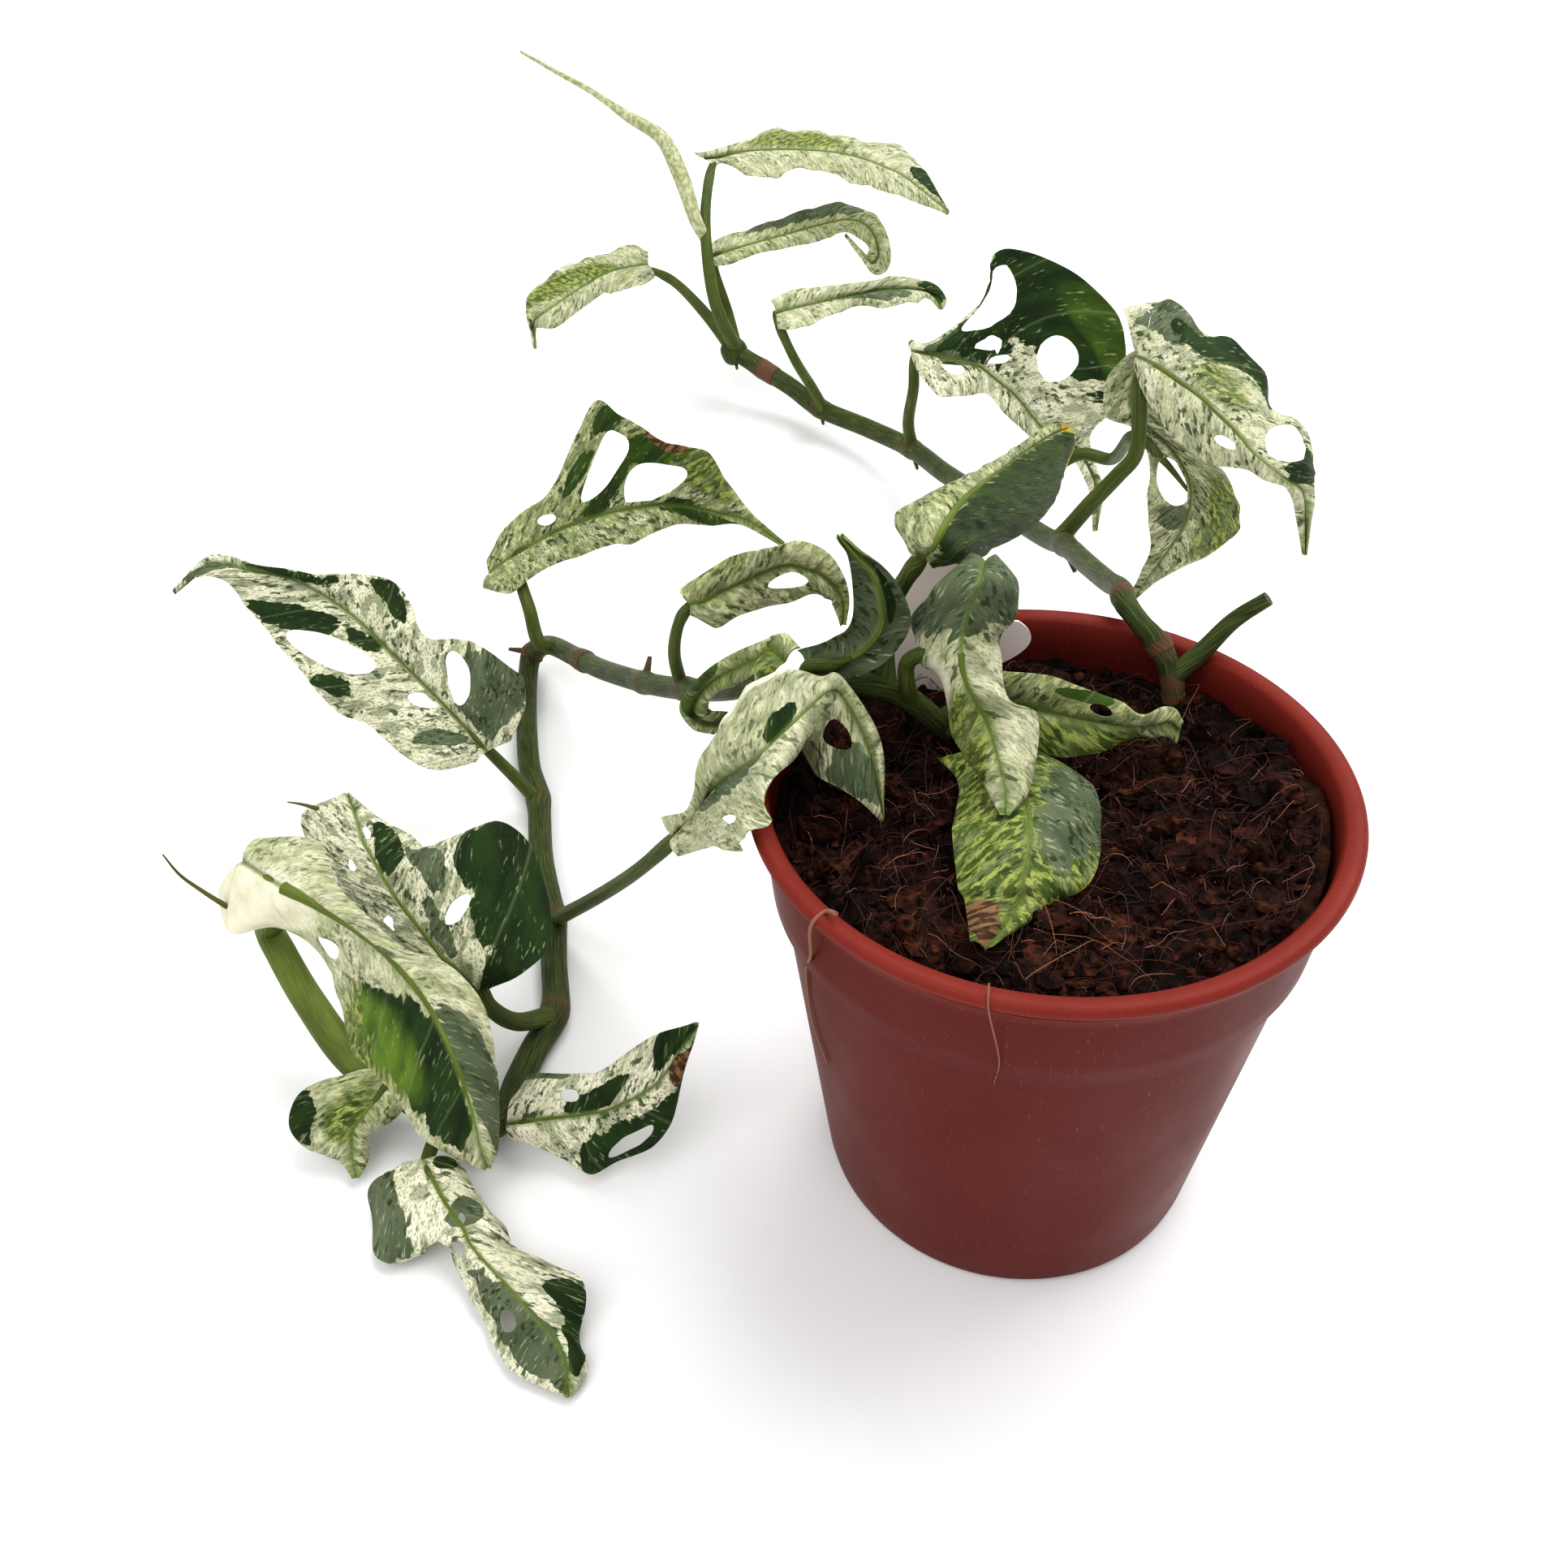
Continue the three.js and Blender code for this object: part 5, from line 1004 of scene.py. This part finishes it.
def vine_parts(vine):
    centres = np.array(vine["nodes"], float)
    low, high = vine["radius"]
    seed = vine["seed"]
    line, run = even_line(vine["path"], VINE_STEPS)

    def nearest(point):
        return np.min(np.linalg.norm(centres - point, axis=1))

    def radius_at(t):
        point = line[min(int(t * (VINE_STEPS - 1)), VINE_STEPS - 1)]
        return low + (high - low) * t * (2 - t) + NODE_SWELL * math.exp(-(nearest(point) / NODE_LENGTH) ** 2)

    def ring_at(point):
        return 0.85 * math.exp(-((nearest(point) - 1.5) / 0.8) ** 2)

    parts = [tube(vine["path"], radius_at, 32, VINE_STEPS, seed=seed, ring_at=ring_at)]
    for x, y, z, dx, dy, dz in vine["roots"]:
        bend = [[x, y, z], [x + dx * 0.6, y + dy * 0.5, z + dz * 0.6], [x + dx, y + dy, z + dz]]
        parts.append(tube(bend, lambda t: 1.5 - 0.9 * t, 12, 12, seed=seed, ring_at=lambda point: 0.6))
    for place, reach in vine["sheaths"]:
        near = line_at(line, np.linspace(place - reach / run[-1], place + reach / run[-1], 9))
        girth = radius_at(place) + 0.15
        parts.append(tube(near, lambda t: girth + 0.3 * t, 24, 16, seed=seed + place,
            ring_at=lambda point: 1.0))
    return parts


def end_bud(vine, seed):
    """The closed, rounded growing end of a vine."""
    rows, columns = 14, 24
    points = []
    for spoke in spokes_of_ball(rows, columns):
        wobble = 1 + 0.08 * noise.noise(spoke * 2 + Vector((seed, 0, 0)))
        points.append(Vector(vine["path"][-1]) + spoke * vine["end"] * wobble)
    return part_of([tuple(p) for p in points], grid_faces(rows, columns, True),
        grain=[(p.x * 3, p.z, seed) for p in points])


# Pot and soil.

def arc(middle, radius, start, end, count):
    turns = np.radians(np.linspace(start, end, count))
    return [(middle[0] + radius * math.cos(a), middle[1] + radius * math.sin(a)) for a in turns]


def wall_radius(height):
    """The outside of the pot below its collar."""
    return BASE_RADIUS + (STEP_RADIUS - BASE_RADIUS) * height / STEP_HEIGHT


def pot_profile():
    bead_foot = POT_HEIGHT - 2 * BEAD_RADIUS
    slope = (COLLAR_TOP_RADIUS - COLLAR_FOOT_RADIUS) / (bead_foot - STEP_HEIGHT)
    line = bead_foot - LINE_DROP

    def collar(height):
        return COLLAR_FOOT_RADIUS + slope * (height - STEP_HEIGHT)

    profile = [(MIDDLE_RADIUS, 0), (DRAIN_RING_RADIUS, 0), (BASE_RADIUS - NOTCH_DEPTH - 0.2, 0)]
    profile += [(BASE_RADIUS - NOTCH_DEPTH, 0)]
    profile += arc((BASE_RADIUS - BASE_CORNER, BASE_CORNER), BASE_CORNER, -90, 0, 7)
    profile += [(wall_radius(h), h) for h in np.linspace(4, STEP_HEIGHT - 0.6, 24)]
    profile += [(STEP_RADIUS + 0.2, STEP_HEIGHT - 0.1), (collar(STEP_HEIGHT) - 0.5, STEP_HEIGHT + 0.2)]
    profile += [(collar(h), h) for h in (STEP_HEIGHT + 0.8, 94, 100, 106)]
    profile += [(collar(h) + out, h) for h, out in ((line - 0.3, 0), (line, LINE_RELIEF), (line + 0.3, 0))]
    profile += [(collar(bead_foot - 0.5), bead_foot - 0.5)]
    profile += arc((RIM_RADIUS - BEAD_RADIUS, POT_HEIGHT - BEAD_RADIUS), BEAD_RADIUS, -80, 90, 14)
    profile += [(COLLAR_TOP_RADIUS - 0.8, POT_HEIGHT - 0.3), (COLLAR_TOP_RADIUS - WALL, POT_HEIGHT - 1.2)]
    profile += [(collar(h) - WALL, h) for h in (108, 100, STEP_HEIGHT + 2)]
    profile += [(wall_radius(h) - WALL, h) for h in (STEP_HEIGHT, 60, 30, FLOOR)]
    return profile + [(MIDDLE_RADIUS, FLOOR)]


def pot_part():
    profile = pot_profile()
    points = np.array(turned(profile, POT_SIDES))
    flat_side = np.abs(points[:, :2]).min(axis=1) < NOTCH_HALF_WIDTH
    notched = flat_side & (np.hypot(points[:, 0], points[:, 1]) > BASE_RADIUS - NOTCH_DEPTH - 0.1)
    points[notched, 2] = np.maximum(points[notched, 2], NOTCH_HEIGHT)
    return part_of(points, rod_faces(len(profile), POT_SIDES))


def drilled(thing, centres, radius, depth):
    """Cuts round holes of the given radius up through the thing's floor."""
    ring = turned([(radius, -depth), (radius, depth)], DRAIN_SIDES)
    rods = [part_of(np.add(ring, (*centre, 0)), rod_faces(2, DRAIN_SIDES)) for centre in centres]
    cutter = joined("drain_cutter", rods)
    cut = thing.modifiers.new("drains", "BOOLEAN")
    cut.object = cutter
    cut.solver = "EXACT"
    shaped = bpy.data.meshes.new_from_object(thing.evaluated_get(bpy.context.evaluated_depsgraph_get()))
    thing.modifiers.clear()
    thing.data = shaped
    bpy.data.objects.remove(cutter)


def soil_height(x, y):
    place = Vector((x, y, 0))
    lumps = sum(rise * noise.fractal(place / size, rough, 2.0, 3) for size, rise, rough in LUMPS)
    grit = GRIT[1] * noise.noise(place / GRIT[0])
    beside = 1 - abs(math.atan2(y, x) - HEAP_TURN) / HEAP_SPREAD
    heap = HEAP_RISE * steps(0, 1, beside) * steps(HEAP_FOOT, SOIL_RADIUS, math.hypot(x, y))
    return SOIL_LEVEL + min(lumps + grit, LUMP_TOP + 0.2 * grit) + heap


def soil_part():
    points = []
    for i in range(1, SOIL_RINGS + 1):
        reach = SOIL_RADIUS * i / SOIL_RINGS + (SOIL_BRIM if i == SOIL_RINGS else 0)
        for k in range(SOIL_SIDES):
            x, y = polar(reach, 2 * math.pi * (k + 0.5 * (i % 2)) / SOIL_SIDES)
            points.append((x, y, soil_height(x, y)))
    points += turned(SOIL_SIDE, SOIL_SIDES)
    return part_of(points, [face[::-1] for face in rod_faces(SOIL_RINGS + len(SOIL_SIDE), SOIL_SIDES)])


def somewhere(draw, part_of_radius):
    """A random place on the soil."""
    reach = SOIL_RADIUS * math.sqrt(draw.random()) * part_of_radius
    return polar(reach, draw.uniform(0, 2 * math.pi))


def crumb_part(draw):
    """A small rough lump lying on the soil."""
    x, y = somewhere(draw, 0.97)
    size = draw.uniform(*(CRUMB_SIZE if draw.random() < SMALL_SHARE else BIG_CRUMB_SIZE))
    middle = Vector((x, y, soil_height(x, y) + 0.3 * min(size, 1.5)))
    stretch = Vector([draw.uniform(0.6, 1.3) for _ in range(3)])
    if draw.random() < FLAT_SHARE:
        stretch = Vector((draw.uniform(0.3, 2.4), draw.uniform(0.3, 2.4), 0.35))
    points = []
    for spoke in spokes_of_ball(*CRUMB_GRID, twist=1):
        rough = size * draw.uniform(0.75, 1.2)
        points.append(tuple(middle + Vector([s * t * rough for s, t in zip(spoke, stretch)])))
    return part_of(points, grid_faces(*CRUMB_GRID, True), 1 if draw.random() < 0.5 else 0)


def fibre_part(draw, start, length, thickness, lift):
    """A thin curved coir fibre that follows the soil."""
    turn = draw.uniform(0, 2 * math.pi)
    bend = draw.uniform(-1.4, 1.4)
    x, y = start
    arch = draw.uniform(0, lift)
    line = []
    for i in range(7):
        rise = arch * math.sin(math.pi * i / 6) + 0.3
        line.append((x, y, soil_height(x, y) + rise))
        turn += bend / 6
        x += math.cos(turn) * length / 6
        y += math.sin(turn) * length / 6
        if math.hypot(x, y) > SOIL_RADIUS - 1:
            turn += 1.2
            x, y = (v * (SOIL_RADIUS - 1.5) / math.hypot(x, y) for v in (x, y))
    return tube(line, lambda t: thickness * (1 - 0.6 * t), 3, 9)


def scattered(draw, count):
    parts = []
    for _ in range(count):
        start = somewhere(draw, 0.96)
        long_one = draw.random() < LONG_SHARE
        length = draw.uniform(*(LONG_FIBRE_LENGTH if long_one else FIBRE_LENGTH))
        part = fibre_part(draw, start, length, draw.uniform(*FIBRE_THICKNESS), 5 if long_one else 2)
        part["slot"] = 2 if draw.random() < RED_SHARE else 3
        parts.append(part)
    return parts


def strand_part(places, lift, start, end, sides, count):
    """A root laid over the rim and down the pot's outside."""
    line = []
    for turn, height in places:
        if height > POT_HEIGHT:
            radius = RIM_RADIUS - 3
        elif height > STEP_HEIGHT:
            radius = RIM_RADIUS if height > POT_HEIGHT - 4 else COLLAR_TOP_RADIUS
        else:
            radius = wall_radius(height)
        line.append((*polar(radius + lift, math.radians(turn)), height))
    return tube(line, lambda t: start + (end - start) * t, sides, count, slot=3)


# Tag.

def tag_part():
    half_width, height = TAG_SIZE
    t = np.linspace(0, 1, 14)[1:, None]
    outline = []
    for places in TAG_OUTLINE:
        if len(places) == 3:
            start, pull, end = np.array(places)
            places = (1 - t) ** 2 * start + 2 * t * (1 - t) * pull + t ** 2 * end
        outline += [tuple(place) for place in places]
    cosine, sine = math.cos(TAG_LEAN), math.sin(TAG_LEAN)
    points = []
    for depth in (0, -TAG_THICKNESS):
        for x, y in outline:
            up = y * height
            tilted = (x * half_width, up * sine + depth * cosine, up * cosine - depth * sine)
            points.append(np.add(TAG_PLACE, tilted))
    return part_of(points, [face[::-1] for face in rod_faces(2, len(outline))])


# The scene.

def set_camera():
    down, lean = math.radians(CAMERA_DOWN), math.radians(CAMERA_LEAN)
    ahead = Vector((0, math.cos(down), -math.sin(down)))
    level = Vector((1, 0, 0))
    above = Vector((0, math.sin(down), math.cos(down)))
    right = level * math.cos(lean) + above * math.sin(lean)
    top = above * math.cos(lean) - level * math.sin(lean)
    camera = placed("camera", bpy.data.cameras.new("camera"))
    camera.data.lens = CAMERA_LENS
    camera.data.sensor_width = SENSOR_WIDTH
    camera.data.clip_start = NEAREST_SEEN
    turn = Matrix((right, top, -ahead)).transposed().to_4x4()
    camera.matrix_world = Matrix.Translation(CAMERA_PLACE) @ turn
    bpy.context.scene.camera = camera


def set_lamp(name, place, aim, size, power):
    lamp = placed(name, bpy.data.lights.new(name, "AREA"))
    lamp.data.shape = "SQUARE"
    lamp.data.size = size
    lamp.data.energy = power
    lamp.location = place
    lamp.rotation_euler = (Vector(aim) - Vector(place)).to_track_quat("-Z", "Y").to_euler()


def set_stage():
    wide = FLOOR_REACH / MM
    corners = [(-wide, -wide, 0), (wide, -wide, 0), (wide, wide, 0), (-wide, wide, 0)]
    floor = joined("floor", [part_of(corners, [(0, 1, 2, 3)])])
    floor.data.materials.append(plain_finish("pale_floor", "#f7f7f7", 0.8))
    world = bpy.data.worlds.new("room_light")
    world.use_nodes = True
    background = world.node_tree.nodes["Background"]
    fill(world.node_tree, background, {"Color": "#ffffff", "Strength": ROOM_LIGHT})
    bpy.context.scene.world = world
    for name, lamp in LAMPS.items():
        set_lamp(name, *lamp)


set_camera()
set_stage()
bpy.context.scene.view_settings.view_transform = "Standard"
bpy.context.scene.view_settings.look = "Medium High Contrast"

leaf_look = leaf_finish()
stem_look = stem_finish()
for number, (leaf_name, shape) in enumerate(LEAVES.items()):
    leaf_piece(leaf_name, shape, number, [leaf_look, stem_look])


def spear_radius(t):
    return SPEAR_END + SPEAR_RADIUS * (1 + math.sin(math.pi * min(1.6 * t, 1))) * (1 - t) ** 0.7


spear = tube(SPEAR, spear_radius, 24, 120, seed=5.0)
spear["ground"] = np.tile(SPEAR_GROUND, (len(spear["points"]), 1))
piece("leaf_new_rolled_spear", [spear], [leaf_look], "leaf_new_rolled")

stub = tube(STUB, lambda t: STUB_RADIUS[0] + (STUB_RADIUS[1] - STUB_RADIUS[0]) * t, 24, 30, seed=8.0)
back_parts = vine_parts(BACK_VINE) + [end_bud(BACK_VINE, 1.0), stub]
piece("vine_back_stem", back_parts, [stem_look], "vine_back")
front_parts = vine_parts(FRONT_VINE) + [end_bud(FRONT_VINE, 2.0)]
piece("vine_front_stem", front_parts, [stem_look], "vine_front")

pot = piece("pot_shell", [pot_part()], [pot_finish()], "pot")
drain_turns = [2 * math.pi * (k + 0.5) / DRAIN_COUNT for k in range(DRAIN_COUNT)]
drilled(pot, [polar(DRAIN_RING_RADIUS, turn) for turn in drain_turns], DRAIN_RADIUS, DRAIN_CUT)

soil_draw = random.Random(4)
soil_looks = [
    soil_finish("dark_coir", "#060302", "#3e2014", 0.0034),
    soil_finish("peat_crumb", "#0c0605", "#5e3524", 0.0017),
    plain_finish("coir_fibre", "#40201a", 0.85),
    plain_finish("pale_coir_fibre", "#8b5f48", 0.85),
]
crumbs = [crumb_part(soil_draw) for _ in range(CRUMB_COUNT)]
piece("soil_mass", [soil_part()] + crumbs, soil_looks, "soil")
strands = [strand_part(*strand) for strand in STRANDS]
piece("soil_fibres", scattered(soil_draw, FIBRE_COUNT) + strands, soil_looks, "soil")

piece("plant_tag_plate", [tag_part()], [plain_finish("frosted_plastic", "#f2e5df", 0.45)], "plant_tag")
